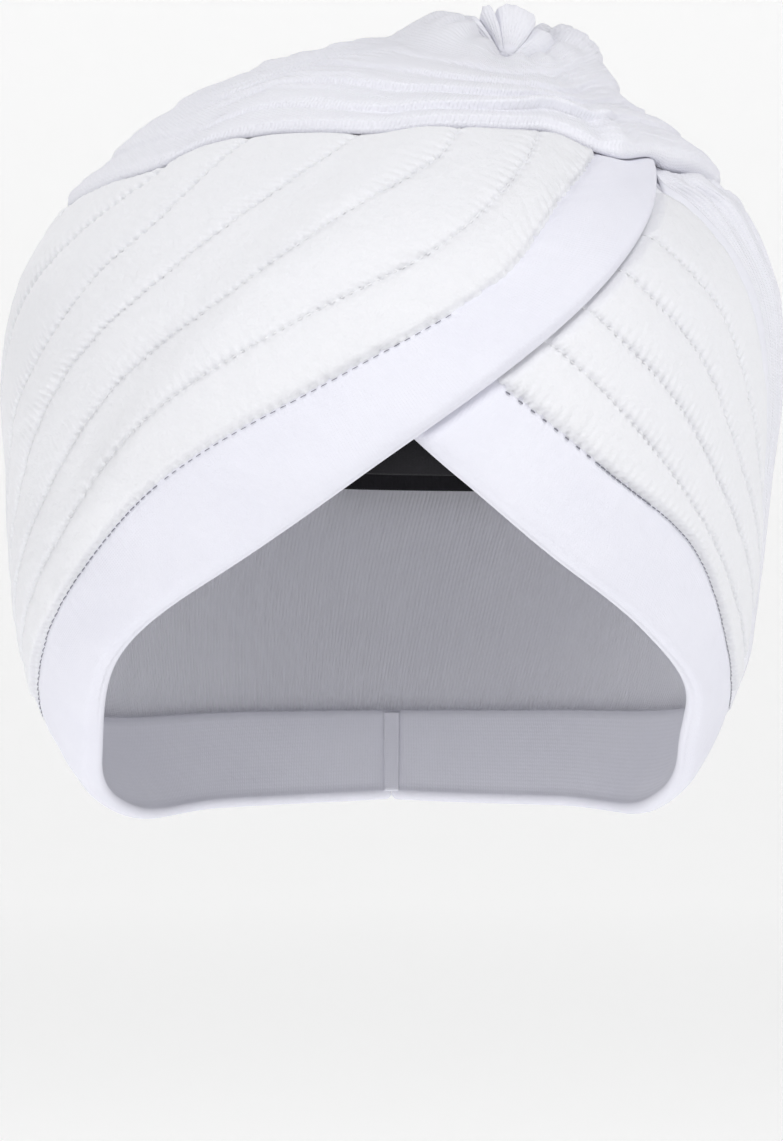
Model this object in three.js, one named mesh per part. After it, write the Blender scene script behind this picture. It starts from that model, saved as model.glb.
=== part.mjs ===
// A ready-tied pagri, a quilted turban cap, in the form that it has when it is worn.
//
// Units are millimetres. +Z is up, the front faces -Y and the wearer's left is +X. The origin is
// the top of the wearer's head, just inside the cap.
//
// Every surface is a distance outside one base form, taken along a direction from the head centre.
// A direction is [azimuth, elevation] in degrees: azimuth 0 is the front, 90 the wearer's left.

import * as THREE from "three";

// Driving dimensions

const HEAD_CENTRE = [0, 4, -78]; // where every direction starts

// Radius of the base form towards the wearer's right and left, the front and the back, a row per
// elevation
const PROFILE = [
  { elevation: -60, right: 130, left: 128.5, front: 118, back: 134 },
  { elevation: -45, right: 120.5, left: 117, front: 111, back: 119.5 },
  { elevation: -30, right: 107.5, left: 103.8, front: 106, back: 112 },
  { elevation: -15, right: 97.8, left: 95.6, front: 104, back: 107 },
  { elevation: 0, right: 95.7, left: 94.5, front: 104, back: 102.5 },
  { elevation: 15, right: 94.8, left: 95.5, front: 103, back: 97.5 },
  { elevation: 30, right: 90.3, left: 90.5, front: 98.5, back: 92 },
  { elevation: 45, right: 85, left: 85, front: 92, back: 86 },
  { elevation: 60, right: 81.5, left: 81.5, front: 86.5, back: 82 },
  { elevation: 75, right: 80.5, left: 80.5, front: 82.5, back: 80.5 },
  { elevation: 90, right: 80.5, left: 80.5, front: 80.5, back: 80.5 },
];

// Layers, as distances outside the base form
const QUILT = { inside: -6.2, crest: 0, stitch: -2.2, pressed: -4.2 };
const HEM = { inside: -6, face: -1.2, edge: -3.2, tucked: -2.9 };
const DRAPE = { inside: -2.7, face: -1.4, fold: 2.8 };
const BAND = { inside: -8.4, face: -7.2 };
const WRAP_WALL = 2.2; // jersey of the wrap, two layers
const LAP = 3.3; // how far the crossing panel rises to clear the one beneath it
const SEAM_GAP = 0.4; // between pieces sewn edge to edge
const LAY_GAP = 0.4; // between pieces that lie on each other

// Stitched lines of the right panel from the hem seam to its top edge, a row per line. The stations
// run from under the wrap, over the brow and temple, to the side seam.
const RIGHT_LINES = [
  { top: [41, 36.5], brow: [24.5, 22.7], front: [13, 10.6], temple: [-6.4, -0.7],
    cheek: [-30, -12.7], ear: [-58.6, -29.9], seam: [-88, -43.5] },
  { top: [30, 42], brow: [20.5, 28.6], front: [6.4, 15.3], temple: [-11.6, 5.7],
    cheek: [-32, -5.5], ear: [-60, -24.5], seam: [-89, -40] },
  { top: [15, 42], brow: [7.4, 29.3], front: [-7, 19.3], temple: [-20.6, 9.8],
    cheek: [-38, -0.5], ear: [-62.5, -18.5], seam: [-90, -36.5] },
  { top: [1, 42], brow: [-9.7, 31], front: [-20.4, 22.1], temple: [-33.5, 11.9],
    cheek: [-47, 3], ear: [-67, -12.5], seam: [-91, -33] },
  { top: [-21, 42], brow: [-29.5, 31], front: [-37.2, 20.4], temple: [-46.5, 13.6],
    cheek: [-58.5, 3.5], ear: [-74, -8.5], seam: [-92, -29.5] },
  { top: [-36, 41], brow: [-43.5, 30], front: [-50.5, 24.8], temple: [-60, 18.2],
    cheek: [-70.6, 11], ear: [-82, -2], seam: [-93, -26] },
  { top: [-53, 41], brow: [-60, 35], front: [-67.5, 31], temple: [-76.5, 25.5],
    cheek: [-85.5, 16], ear: [-92.5, 0.5], seam: [-95, -22.5] },
  { top: [-73, 41], brow: [-80, 39], front: [-88, 35.5], temple: [-96, 30],
    cheek: [-101, 19], ear: [-103, 2], seam: [-98, -19] },
];

// Stitched lines of the left panel in the same order. The top station is hidden under the right panel.
const LEFT_LINES = [
  { top: [-10, 12.5], brow: [4, 4.5], front: [16.4, -3.5], temple: [32.1, -13.7],
    cheek: [50.1, -23.1], ear: [70, -37], seam: [88, -43.8] },
  { top: [-3, 19], brow: [10, 11], front: [22.5, 2.1], temple: [36.9, -9.1],
    cheek: [53, -21.2], ear: [71, -33], seam: [88, -40.5] },
  { top: [4, 26], brow: [17, 15.8], front: [29, 6.2], temple: [42, -3.6],
    cheek: [57, -16.3], ear: [73, -27.2], seam: [88.5, -37] },
  { top: [13, 33], brow: [25.5, 21.2], front: [35.3, 12], temple: [47.2, 2.8],
    cheek: [60, -10.5], ear: [75, -22], seam: [89, -33.5] },
  { top: [24, 39], brow: [34.5, 24.5], front: [43, 17.2], temple: [54, 8.5],
    cheek: [64, -4.3], ear: [77.5, -17.5], seam: [89.5, -30] },
  { top: [36, 41], brow: [46, 29.5], front: [55.5, 26.7], temple: [64.6, 17.5],
    cheek: [71.5, 5.5], ear: [80, -11], seam: [90, -27] },
  { top: [40, 43], brow: [50, 33.5], front: [58.5, 30.5], temple: [68.5, 21],
    cheek: [75.5, 9], ear: [84, -8], seam: [93, -24] },
];

// Hems, a row per station: the seam with the quilting and the free rim
const RIGHT_HEM = [
  { seam: [44.5, 39], rim: [57.5, 38] },
  { seam: [34.5, 31], rim: [50.4, 30.3] },
  { seam: [24.5, 22.7], rim: [40.6, 21.3] },
  { seam: [13, 10.6], rim: [22.5, 6] },
  { seam: [-6.4, -0.7], rim: [-0.2, -10.6] },
  { seam: [-30, -12.7], rim: [-21.5, -24.7] },
  { seam: [-58.6, -29.9], rim: [-49.5, -37.6] },
  { seam: [-88, -43.5], rim: [-69.5, -50.5] },
  { seam: [-118, -46], rim: [-104, -58.4] },
  { seam: [-149, -46], rim: [-142, -57.2] },
  { seam: [-179.9, -46], rim: [-179.9, -56] },
];
const LEFT_HEM = [
  { seam: [-10, 12.5], rim: [-17, 5.5] },
  { seam: [4, 4.5], rim: [-3.5, -3.2] },
  { seam: [16.4, -3.5], rim: [9.3, -14] },
  { seam: [32.1, -13.7], rim: [25, -25.3] },
  { seam: [50.1, -23.1], rim: [45, -35.2] },
  { seam: [70, -37], rim: [62.5, -42.8] },
  { seam: [88, -43.8], rim: [73, -51] },
  { seam: [118, -46], rim: [104, -58.4] },
  { seam: [149, -46], rim: [142, -57.2] },
  { seam: [179.9, -46], rim: [179.9, -56] },
];
const HEM_STATION_OF_APEX = 4; // the rim runs down as far as this station in front of the left panel

// Where the layers below the right panel end, as azimuth = at0 + slope * elevation
const UNDER_END = { at0: -22, slope: 0.95, clear: 4, ramp: 11, lowest: -26, full: -12 };

// Lower edge of the wrap all round, with the bearing about the knot that each place is reached from
const WRAP_EDGE = [
  { azimuth: 20, elevation: 36.3, bearing: 270 },
  { azimuth: 0, elevation: 36.1, bearing: 250 },
  { azimuth: -20, elevation: 37.4, bearing: 231 },
  { azimuth: -34, elevation: 36.6, bearing: 219 },
  { azimuth: -44, elevation: 32.8, bearing: 210 },
  { azimuth: -55, elevation: 31.5, bearing: 202 },
  { azimuth: -69, elevation: 29.8, bearing: 192 },
  { azimuth: -85, elevation: 29, bearing: 180 },
  { azimuth: -105, elevation: 31, bearing: 163 },
  { azimuth: -130, elevation: 34, bearing: 142 },
  { azimuth: -155, elevation: 36, bearing: 121 },
  { azimuth: -180, elevation: 37, bearing: 99 },
  { azimuth: -205, elevation: 37, bearing: 77 },
  { azimuth: -228, elevation: 35.5, bearing: 56 },
  { azimuth: -250, elevation: 33, bearing: 34 },
  { azimuth: -268, elevation: 32, bearing: 14 },
  { azimuth: -280, elevation: 32.5, bearing: -2 },
  { azimuth: -294, elevation: 34, bearing: -20 },
  { azimuth: -308, elevation: 34.4, bearing: -38 },
  { azimuth: -317, elevation: 32.8, bearing: -52 },
  { azimuth: -323.5, elevation: 33.2, bearing: -63 },
  { azimuth: -332, elevation: 36.6, bearing: -78 },
  { azimuth: -340, elevation: 36.3, bearing: -90 },
];

// How far outside the base form the inside of the wrap lies along its edge, over what is beneath it,
// and the elevation above which that starts to give way to the seat of the top
const WRAP_SEAT = [
  { azimuth: -180, seat: -1, upTo: 36 },
  { azimuth: -98, seat: -1, upTo: 36 },
  { azimuth: -86, seat: -2.4, upTo: 36 },
  { azimuth: -20, seat: -2.9, upTo: 36 },
  { azimuth: 10, seat: 0.4, upTo: 42 },
  { azimuth: 36, seat: 1.2, upTo: 42 },
  { azimuth: 58, seat: 1.2, upTo: 42 },
  { azimuth: 80, seat: 0.8, upTo: 38 },
  { azimuth: 112, seat: -1, upTo: 36 },
  { azimuth: 180, seat: -1, upTo: 36 },
];
const TOP_SEAT = -0.4; // where nothing is beneath the wrap
const SEAT_RAMP = 14; // degrees of elevation over which one seat gives way to the other

// Folds of the wrap, a row per crease as a share of the way from the collar to the edge
const WRAP_CREASES = [
  { left: 0.3, front: 0.34, right: 0.2, back: 0.22, fold: 1.2 },
  { left: 0.5, front: 0.56, right: 0.38, back: 0.4, fold: 1.5 },
  { left: 0.7, front: 0.73, right: 0.54, back: 0.58, fold: 1.8 },
  { left: 0.87, front: 0.89, right: 0.74, back: 0.78, fold: 1.8 },
  { left: 1, front: 1, right: 1, back: 1, fold: 1.5 },
];
const CREASE_BEARINGS = { left: 205, front: 262, right: 318, back: 90 };

// The collar round the knot: how far its crest is from the knot's middle, how high it stands and how
// far out its shoulder runs, a row per bearing (0 is the wearer's left, 90 the back, 270 the front).
// The low place in front is a notch.
const KNOT_CENTRE = [55.6, 67.1];
const NOTCH_BEARING = -98;
const COLLAR = [
  { bearing: -98, reach: 15.5, rise: 1.8, shoulder: 14 },
  { bearing: -60, reach: 15, rise: 5.7, shoulder: 12 },
  { bearing: -30, reach: 14.5, rise: 10.5, shoulder: 9.5 },
  { bearing: 0, reach: 14.6, rise: 13.8, shoulder: 9 },
  { bearing: 45, reach: 15, rise: 12.4, shoulder: 13 },
  { bearing: 90, reach: 15.5, rise: 9, shoulder: 20 },
  { bearing: 135, reach: 15, rise: 9, shoulder: 18 },
  { bearing: 180, reach: 14.5, rise: 9.3, shoulder: 14 },
  { bearing: 225, reach: 15, rise: 8, shoulder: 14 },
  { bearing: 262, reach: 15.5, rise: 1.8, shoulder: 14 },
];
const CREST_WIDTH = 2.4; // run of the collar's crest before its shoulder falls away
const TOP_RADIUS = 84; // turns lengths on the crown into angles
const COLLAR_WALL = 2.6; // run of the collar's inner slope

// Fullness of the wrap on the wearer's left, where the folds gather
const FULLNESS = { azimuth: 88, elevation: 42, height: 2.6, spread: 24 };

// Petals of the knot, a row per petal round its length: the angle of its middle up from the wearer's
// left, half its width as an angle, and its reach from the foot line
const PETALS = [
  { middle: 14, half: 14, reach: 10.4 },
  { middle: 45, half: 14, reach: 18 },
  { middle: 76, half: 20, reach: 14.6 },
  { middle: 113, half: 16, reach: 13.6 },
  { middle: 150, half: 20, reach: 10.4 },
];
const PETAL_GROOVE = 0.3; // depth of the groove between petals, as a share of their reach
const KNOT_LENGTH = { front: -10.2, back: 11 }; // along the crown from the knot's middle
const KNOT_END = 0.3; // how small the knot is at its two ends, as a share of its full size

// Side edges of the back drape, a row per elevation
const DRAPE_EDGES = [
  { elevation: 42, left: 64, right: -101 },
  { elevation: 36, left: 60, right: -99 },
  { elevation: 33, left: 56, right: -98 },
  { elevation: 30, left: 53.4, right: -97 },
  { elevation: 27.5, left: 54, right: -96.5 },
  { elevation: 25, left: 58.6, right: -96 },
  { elevation: 17.5, left: 64.6, right: -95.5 },
  { elevation: 5.5, left: 71.5, right: -96 },
  { elevation: -11, left: 80, right: -95 },
  { elevation: -24, left: 84.5, right: -92.5 },
  { elevation: -36, left: 86.5, right: -89.5 },
  { elevation: -46, left: 87.5, right: -86.5 },
];
const DRAPE_FOLDS = 13; // soft upright folds across the back
const DRAPE_ROWS = 7;
const DRAPE_CLEAR = { flat: 0.6, full: 4 }; // degrees below the wrap's edge where folds start and are full

// The inner band
const BAND_FRONT = { lower: -14.2, upper: 5, tilt: -1.3 };

// Arithmetic

const radians = THREE.MathUtils.degToRad;
const degrees = THREE.MathUtils.radToDeg;
const mix = THREE.MathUtils.lerp;

function smooth(x) {
  return THREE.MathUtils.smoothstep(x, 0, 1);
}

// Value at x of the smooth curve through (xs[k], ys[k]), xs rising
function curve(xs, ys, x) {
  const last = xs.length - 1;
  const at = THREE.MathUtils.clamp(x, xs[0], xs[last]);
  let k = 0;
  while (k < last - 1 && at > xs[k + 1]) k += 1;
  const run = xs[k + 1] - xs[k];
  const t = (at - xs[k]) / run;
  const slope = (n) => {
    const a = Math.max(n - 1, 0);
    const b = Math.min(n + 1, last);
    return ((ys[b] - ys[a]) / (xs[b] - xs[a])) * run;
  };
  return (
    (2 * t ** 3 - 3 * t ** 2 + 1) * ys[k] +
    (t ** 3 - 2 * t ** 2 + t) * slope(k) +
    (-2 * t ** 3 + 3 * t ** 2) * ys[k + 1] +
    (t ** 3 - t ** 2) * slope(k + 1)
  );
}

function column(table, name) {
  return table.map((row) => row[name]);
}

// Value at x of one column of a table against another
function lookUp(table, from, name, x) {
  const order = [...table].sort((a, b) => a[from] - b[from]);
  return curve(column(order, from), column(order, name), x);
}

// Whole numbers from 0 to count, scaled to run from a to b
function steps(count, a = 0, b = 1) {
  return Array.from({ length: count + 1 }, (_, k) => mix(a, b, k / count));
}

// Directions and places

function unit([azimuth, elevation]) {
  const a = radians(azimuth);
  const e = radians(elevation);
  return new THREE.Vector3(Math.sin(a) * Math.cos(e), -Math.cos(a) * Math.cos(e), Math.sin(e));
}

function angles(direction) {
  const azimuth = degrees(Math.atan2(direction.x, -direction.y));
  return [azimuth, degrees(Math.asin(THREE.MathUtils.clamp(direction.z, -1, 1)))];
}

function baseRadius([azimuth, elevation]) {
  const across = Math.sin(radians(azimuth));
  const ahead = Math.cos(radians(azimuth));
  const side = lookUp(PROFILE, "elevation", across < 0 ? "right" : "left", elevation);
  const end = lookUp(PROFILE, "elevation", ahead < 0 ? "back" : "front", elevation);
  return Math.hypot(ahead / end, across / side) ** -1;
}

function place(at, outside) {
  return unit(at).multiplyScalar(baseRadius(at) + outside).add(new THREE.Vector3(...HEAD_CENTRE));
}

// Point of a line of [azimuth, elevation] stations, s counted in stations
function along(line, s) {
  const numbers = line.map((_, k) => k);
  return [0, 1].map((axis) => curve(numbers, line.map((station) => station[axis]), s));
}

const stations = (row) => [row.top, row.brow, row.front, row.temple, row.cheek, row.ear, row.seam];

// Point of a quilted panel, t counted in stitched lines from the hem seam
function onPanel(lines, s, t) {
  return along(lines.map((row) => along(stations(row), s)), t);
}

// Closed bodies from rows of points

class Body {
  constructor() {
    this.points = [];
    this.faces = [];
  }

  add(point) {
    this.points.push(point);
    return this.points.length - 1;
  }

  row(points) {
    return points.map((point) => this.add(point));
  }

  // Faces between two rows of the same length
  strip(a, b, closed = false) {
    const count = closed ? a.length : a.length - 1;
    for (let k = 0; k < count; k += 1) {
      const n = (k + 1) % a.length;
      this.faces.push([a[k], b[k], b[n]], [a[k], b[n], a[n]]);
    }
  }

  // Faces between two rows of any length that share no point
  zip(a, b) {
    let i = 0;
    let j = 0;
    while (i < a.length - 1 || j < b.length - 1) {
      if (j === b.length - 1 || (i + 1) / (a.length - 1) <= (j + 1) / (b.length - 1)) {
        if (i < a.length - 1) {
          this.faces.push([a[i], b[j], a[i + 1]]);
          i += 1;
          continue;
        }
      }
      this.faces.push([a[i], b[j], b[j + 1]]);
      j += 1;
    }
  }

  // Faces from one point to a closed row
  fan(centre, row) {
    row.forEach((point, k) => this.faces.push([centre, point, row[(k + 1) % row.length]]));
  }

  // A wall from outer and inner stations, each a list of points from one long edge to the other
  wall(outer, inner, ring = false) {
    const front = outer.map((points) => this.row(points));
    const back = inner.map((points) => this.row(points));
    const count = ring ? front.length : front.length - 1;
    for (let i = 0; i < count; i += 1) {
      const n = (i + 1) % front.length;
      this.strip(front[i], front[n]);
      this.strip(back[n], back[i]);
      this.strip([front[n][0], back[n][0]], [front[i][0], back[i][0]]);
      this.strip([front[i].at(-1), back[i].at(-1)], [front[n].at(-1), back[n].at(-1)]);
    }
    if (!ring) {
      this.zip(back[0], front[0]);
      this.zip(front.at(-1), back.at(-1));
    }
    return this;
  }

  // A dome from outer and inner rings that run from a middle point to a common edge
  dome(outerMiddle, outer, innerMiddle, inner) {
    const front = outer.map((points) => this.row(points));
    const back = inner.map((points) => this.row(points));
    this.fan(this.add(outerMiddle), front[0]);
    for (let k = 0; k < front.length - 1; k += 1) this.strip(front[k], front[k + 1], true);
    this.strip(front.at(-1), back.at(-1), true);
    for (let k = back.length - 1; k > 0; k -= 1) this.strip(back[k], back[k - 1], true);
    this.fan(this.add(innerMiddle), [...back[0]].reverse());
    return this;
  }

  mesh(name, material) {
    const volume = this.faces.reduce((sum, [a, b, c]) => {
      const cross = this.points[b].clone().cross(this.points[c]);
      return sum + this.points[a].dot(cross);
    }, 0);
    const faces = volume > 0 ? this.faces : this.faces.map(([a, b, c]) => [a, c, b]);
    const geometry = new THREE.BufferGeometry();
    const positions = this.points.flatMap((point) => point.toArray());
    geometry.setAttribute("position", new THREE.Float32BufferAttribute(positions, 3));
    geometry.setIndex(faces.flat());
    geometry.computeVertexNormals();
    const made = new THREE.Mesh(geometry, material);
    made.name = name;
    return made;
  }
}

// Layering

// How far the right panel and its hem are lifted over the tucked end of the left ones
function lift([azimuth, elevation]) {
  const past = azimuth - (UNDER_END.at0 + UNDER_END.slope * elevation);
  const across = smooth((past + UNDER_END.clear + UNDER_END.ramp) / UNDER_END.ramp);
  const up = smooth((elevation - UNDER_END.lowest) / (UNDER_END.full - UNDER_END.lowest));
  return LAP * across * up;
}

// Rim of the flap as azimuth against elevation
const FLAP_RIM = steps(40, 0, HEM_STATION_OF_APEX + 1)
  .map((s) => along(column(RIGHT_HEM, "rim"), s))
  .map(([azimuth, elevation]) => ({ azimuth, elevation }));

// 1 under the right panel and its hem, 0 well clear of them
function pressedByFlap([azimuth, elevation]) {
  const rim = lookUp(FLAP_RIM, "elevation", "azimuth", elevation);
  return 1 - smooth((azimuth - rim - 0.6) / 4.5);
}

function wrapEdge(azimuth) {
  const turned = azimuth > WRAP_EDGE[0].azimuth ? azimuth - 360 : azimuth;
  return lookUp(WRAP_EDGE, "azimuth", "elevation", turned);
}

// 1 under the wrap's edge, 0 below it
function pressedByWrap([azimuth, elevation]) {
  return smooth((elevation - wrapEdge(azimuth) + 2.2) / 2);
}

// 1 under the side edges of the back drape, 0 in front of them
function pressedByDrape([azimuth, elevation]) {
  const left = lookUp(DRAPE_EDGES, "elevation", "left", elevation);
  const right = lookUp(DRAPE_EDGES, "elevation", "right", elevation);
  return smooth((Math.max(azimuth - left, right - azimuth) + 8.5) / 4);
}

// Quilted panels

const CHANNEL = [0, 0.22, 0.5, 0.78]; // places across a channel between two stitched lines

function channelRise(t) {
  const across = Math.abs(2 * (t - Math.floor(t)) - 1);
  return 1 - across ** 3;
}

function quilt(lines, length, innerCount, top, name) {
  const last = lines.length - 1;
  const inset = 0.03; // keeps the seam gap to the hem
  const across = steps(last - 1, 0, last - 1).flatMap((line) => CHANNEL.map((part) => line + part));
  across[0] = inset;
  across.push(last);
  const face = (at, t) => {
    const isOver = name === "quilt_right";
    const open = mix(QUILT.stitch, QUILT.crest, channelRise(t));
    const pressed = Math.max(pressedByWrap(at), pressedByDrape(at), isOver ? 0 : pressedByFlap(at));
    const edged = t >= last ? 1 : pressed;
    return mix(open, QUILT.pressed, edged) + (isOver ? lift(at) : 0);
  };
  const inside = (at) => QUILT.inside + (name === "quilt_right" ? lift(at) : 0);
  const along = steps(length, top, 6);
  const outer = along.map((s) => across.map((t) => {
    const at = onPanel(lines, s, t);
    return place(at, face(at, t));
  }));
  const inner = along.map((s) => steps(innerCount, inset, last).map((t) => {
    const at = onPanel(lines, s, t);
    return place(at, inside(at));
  }));
  return new Body().wall(outer, inner).mesh(name, QUILT_CLOTH);
}

// Hems

const HEM_ACROSS = [0.02, 0.1, 0.35, 0.65, 0.9, 1]; // from the seam to the rim
const HEM_FULLNESS = [0.55, 0.9, 1, 1.05, 0.95, 0.1];

function hem(rows, length, name) {
  const isOver = name === "hem_right";
  const at = (s, v) => {
    const seam = along(column(rows, "seam"), s);
    const rim = along(column(rows, "rim"), s);
    return [mix(seam[0], rim[0], v), mix(seam[1], rim[1], v)];
  };
  const face = (spot, fullness) => {
    const open = mix(HEM.edge, HEM.face, fullness);
    const pressed = Math.max(pressedByWrap(spot), isOver ? 0 : pressedByFlap(spot));
    const flat = isOver ? HEM.tucked : QUILT.pressed;
    return mix(open, Math.min(open, flat), pressed) + (isOver ? lift(spot) : 0);
  };
  const inside = (spot) => HEM.inside + (isOver ? lift(spot) : 0);
  const stops = steps(length, 0, rows.length - 1);
  const outer = stops.map((s) => HEM_ACROSS.map((v, k) => {
    const spot = at(s, v);
    return place(spot, face(spot, HEM_FULLNESS[k]));
  }));
  const inner = stops.map((s) => [HEM_ACROSS[0], 0.5, 0.97].map((v) => {
    const spot = at(s, v);
    return place(spot, inside(spot));
  }));
  return new Body().wall(outer, inner).mesh(name, JERSEY);
}

// Wrap

const KNOT_AXIS = unit(KNOT_CENTRE);
const KNOT_EAST = new THREE.Vector3(1, 0, 0).projectOnPlane(KNOT_AXIS).normalize();
const KNOT_NORTH = KNOT_AXIS.clone().cross(KNOT_EAST);

// Direction at a bearing about the knot and a distance from its middle along the crown
function fromKnot(bearing, distance) {
  const turn = radians(bearing);
  const angle = distance / TOP_RADIUS;
  const side = KNOT_EAST.clone().multiplyScalar(Math.cos(turn));
  side.addScaledVector(KNOT_NORTH, Math.sin(turn));
  return KNOT_AXIS.clone().multiplyScalar(Math.cos(angle)).addScaledVector(side, Math.sin(angle));
}

function slerp(a, b, share) {
  const angle = a.angleTo(b);
  const start = a.clone().multiplyScalar(Math.sin((1 - share) * angle));
  return start.addScaledVector(b, Math.sin(share * angle)).divideScalar(Math.sin(angle));
}

// The bearing as a number from the notch round to the notch
function wrapped(bearing) {
  return (((bearing - NOTCH_BEARING) % 360) + 360) % 360 + NOTCH_BEARING;
}

function collar(bearing) {
  const turn = wrapped(bearing);
  const read = (name) => lookUp(COLLAR, "bearing", name, turn);
  return { reach: read("reach"), rise: read("rise"), shoulder: read("shoulder") };
}

// Share of the way out at which a crease lies at a bearing
function creaseAt(row, bearing) {
  const { left, front, right, back } = CREASE_BEARINGS;
  const turn = ((bearing % 360) + 360) % 360;
  const xs = [back, left, front, right, back + 360];
  const ys = [row.back, row.left, row.front, row.right, row.back];
  return curve(xs, ys, turn < back ? turn + 360 : turn);
}

function seat([azimuth, elevation]) {
  const edge = lookUp(WRAP_SEAT, "azimuth", "seat", azimuth);
  const upTo = lookUp(WRAP_SEAT, "azimuth", "upTo", azimuth);
  return mix(edge, TOP_SEAT, smooth((elevation - upTo) / SEAT_RAMP));
}

// Height of the inside of the wrap: its seat, the collar's shoulder and the gathered fullness
function wrapInside(direction, bearing, distance) {
  const at = angles(direction);
  const { reach, rise, shoulder } = collar(bearing);
  const out = distance - reach;
  const hill = out > 0 ? 1 - smooth((out - CREST_WIDTH) / shoulder) : 0;
  const gathered = unit([FULLNESS.azimuth, FULLNESS.elevation]).angleTo(direction);
  const full = FULLNESS.height * Math.exp(-((degrees(gathered) / FULLNESS.spread) ** 2));
  return seat(at) + rise * hill + full;
}

const WRAP_STATIONS = 56;
const FOLD_PLACES = [0.04, 0.45, 0.86]; // the foot, the face and the lip of each fold
const FOLD_RISE = [0.1, 0.72, 1];

function wrap() {
  const rows = [];
  const count = WRAP_EDGE.length - 1;
  for (const x of steps(WRAP_STATIONS, 0, count).slice(0, -1)) {
    const numbers = WRAP_EDGE.map((_, k) => k);
    const read = (name) => curve(numbers, column(WRAP_EDGE, name), x);
    const bearing = read("bearing");
    const ring = collar(bearing);
    const start = fromKnot(bearing, ring.reach);
    const end = unit([read("azimuth"), read("elevation")]);
    const run = start.angleTo(end) * TOP_RADIUS;
    const at = (share) => slerp(start, end, share);
    const inside = (share) => wrapInside(at(share), bearing, ring.reach + share * run);
    const point = (direction, outside) => place(angles(direction), outside);

    const floor = [0.45, 0.95].map((part) => {
      const direction = fromKnot(bearing, part * (ring.reach - COLLAR_WALL));
      return point(direction, seat(angles(direction)) + WRAP_WALL);
    });
    const crest = point(at(0), inside(0.001) + WRAP_WALL);
    const outer = [...floor, crest];
    let from = 0;
    for (const row of WRAP_CREASES) {
      const to = creaseAt(row, bearing);
      FOLD_PLACES.forEach((place, k) => {
        const share = mix(from, to, place);
        outer.push(point(at(share), inside(share) + WRAP_WALL + row.fold * FOLD_RISE[k]));
      });
      from = to;
    }
    outer.push(point(at(1), inside(1) + WRAP_WALL * 0.6));

    const floorInside = [0.6].map((part) => {
      const direction = fromKnot(bearing, part * (ring.reach - COLLAR_WALL));
      return point(direction, seat(angles(direction)));
    });
    const under = fromKnot(bearing, ring.reach - COLLAR_WALL * 0.2);
    const inner = [...floorInside, point(under, seat(angles(under)))];
    for (const share of [0.1, 0.24, 0.4, 0.55, 0.7, 0.85, 1]) inner.push(point(at(share), inside(share)));
    rows.push({ outer, inner });
  }
  const rings = (name) => rows[0][name].map((_, k) => rows.map((row) => row[name][k]));
  const middle = seat(KNOT_CENTRE);
  return new Body()
    .dome(place(KNOT_CENTRE, middle + WRAP_WALL), rings("outer"), place(KNOT_CENTRE, middle), rings("inner"))
    .mesh("wrap", JERSEY);
}

// Back drape

// Elevation of the top of the hem at an azimuth on the back of the head
function hemTop(azimuth) {
  const rows = azimuth < 180 ? LEFT_HEM : RIGHT_HEM;
  const seam = rows.map((row) => ({ from: Math.abs(row.seam[0]), elevation: row.seam[1] }));
  return lookUp(seam.slice(5), "from", "elevation", Math.min(azimuth, 360 - azimuth));
}

// Directions down one upright line of the drape, u from its left edge to its right edge
function drapeLine(u) {
  const azimuthAt = (level) => {
    const left = lookUp(DRAPE_EDGES, "elevation", "left", level);
    const right = lookUp(DRAPE_EDGES, "elevation", "right", level) + 360;
    return mix(left, right, u);
  };
  const top = DRAPE_EDGES[0].elevation;
  const bottom = DRAPE_EDGES.at(-1).elevation;
  const lip = wrapEdge(azimuthAt(top));
  const levels = [top, lip - DRAPE_CLEAR.flat, ...steps(DRAPE_ROWS, lip - DRAPE_CLEAR.full, bottom)];
  return levels.map((level) => {
    const azimuth = azimuthAt(level);
    const low = THREE.MathUtils.clamp((lip - level) / (lip - bottom), 0, 1);
    return [azimuth, level + low * (hemTop(azimuth) + SEAM_GAP - bottom)];
  });
}

function backDrape() {
  const stops = steps(DRAPE_FOLDS * 4);
  const outer = stops.map((u) => drapeLine(u).map((spot, k, line) => {
    const fold = Math.sin(Math.PI * u * DRAPE_FOLDS) ** 2;
    const side = smooth(Math.min(u, 1 - u) / 0.02);
    const isFlat = k < 2;
    const atHem = k === line.length - 1 ? 0.3 : 1;
    return place(spot, DRAPE.face + (isFlat ? 0 : DRAPE.fold * fold * side * atHem));
  }));
  const inner = stops.map((u) => drapeLine(u).map((spot) => place(spot, DRAPE.inside)));
  return new Body().wall(outer, inner).mesh("back_drape", JERSEY);
}

// Knot

// Reach of the petals at an angle up from the wearer's left
function petalReach(angle) {
  const off = (petal) => Math.abs(angle - petal.middle) / petal.half;
  const petal = PETALS.reduce((best, next) => (off(next) < off(best) ? next : best));
  return petal.reach * (1 - PETAL_GROOVE * Math.min(off(petal), 1) ** 4);
}

function knot() {
  const { front, back } = KNOT_LENGTH;
  const foot = (east, north) => {
    const bearing = degrees(Math.atan2(north, east));
    const at = angles(fromKnot(bearing, Math.hypot(east, north)));
    return place(at, seat(at) + WRAP_WALL + LAY_GAP);
  };
  const stops = steps(9, -1, 1).map((n) => ({
    north: mix(front, back, (n + 1) / 2),
    size: mix(KNOT_END, 1, 1 - n ** 2),
  }));
  const outer = stops.map(({ north, size }) => steps(32, 2, 178).map((angle) => {
    const reach = petalReach(angle) * size;
    const east = reach * Math.cos(radians(angle));
    const up = reach * Math.sin(radians(angle));
    return foot(east, north).add(new THREE.Vector3(0, 0, up));
  }));
  const inner = stops.map(({ north, size }) => steps(4, 1, -1).map((side) => {
    const end = petalReach(side > 0 ? 2 : 178) * size;
    return foot(side * end * 0.98, north);
  }));
  return new Body().wall(outer, inner).mesh("knot", JERSEY);
}

// Inner band

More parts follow.
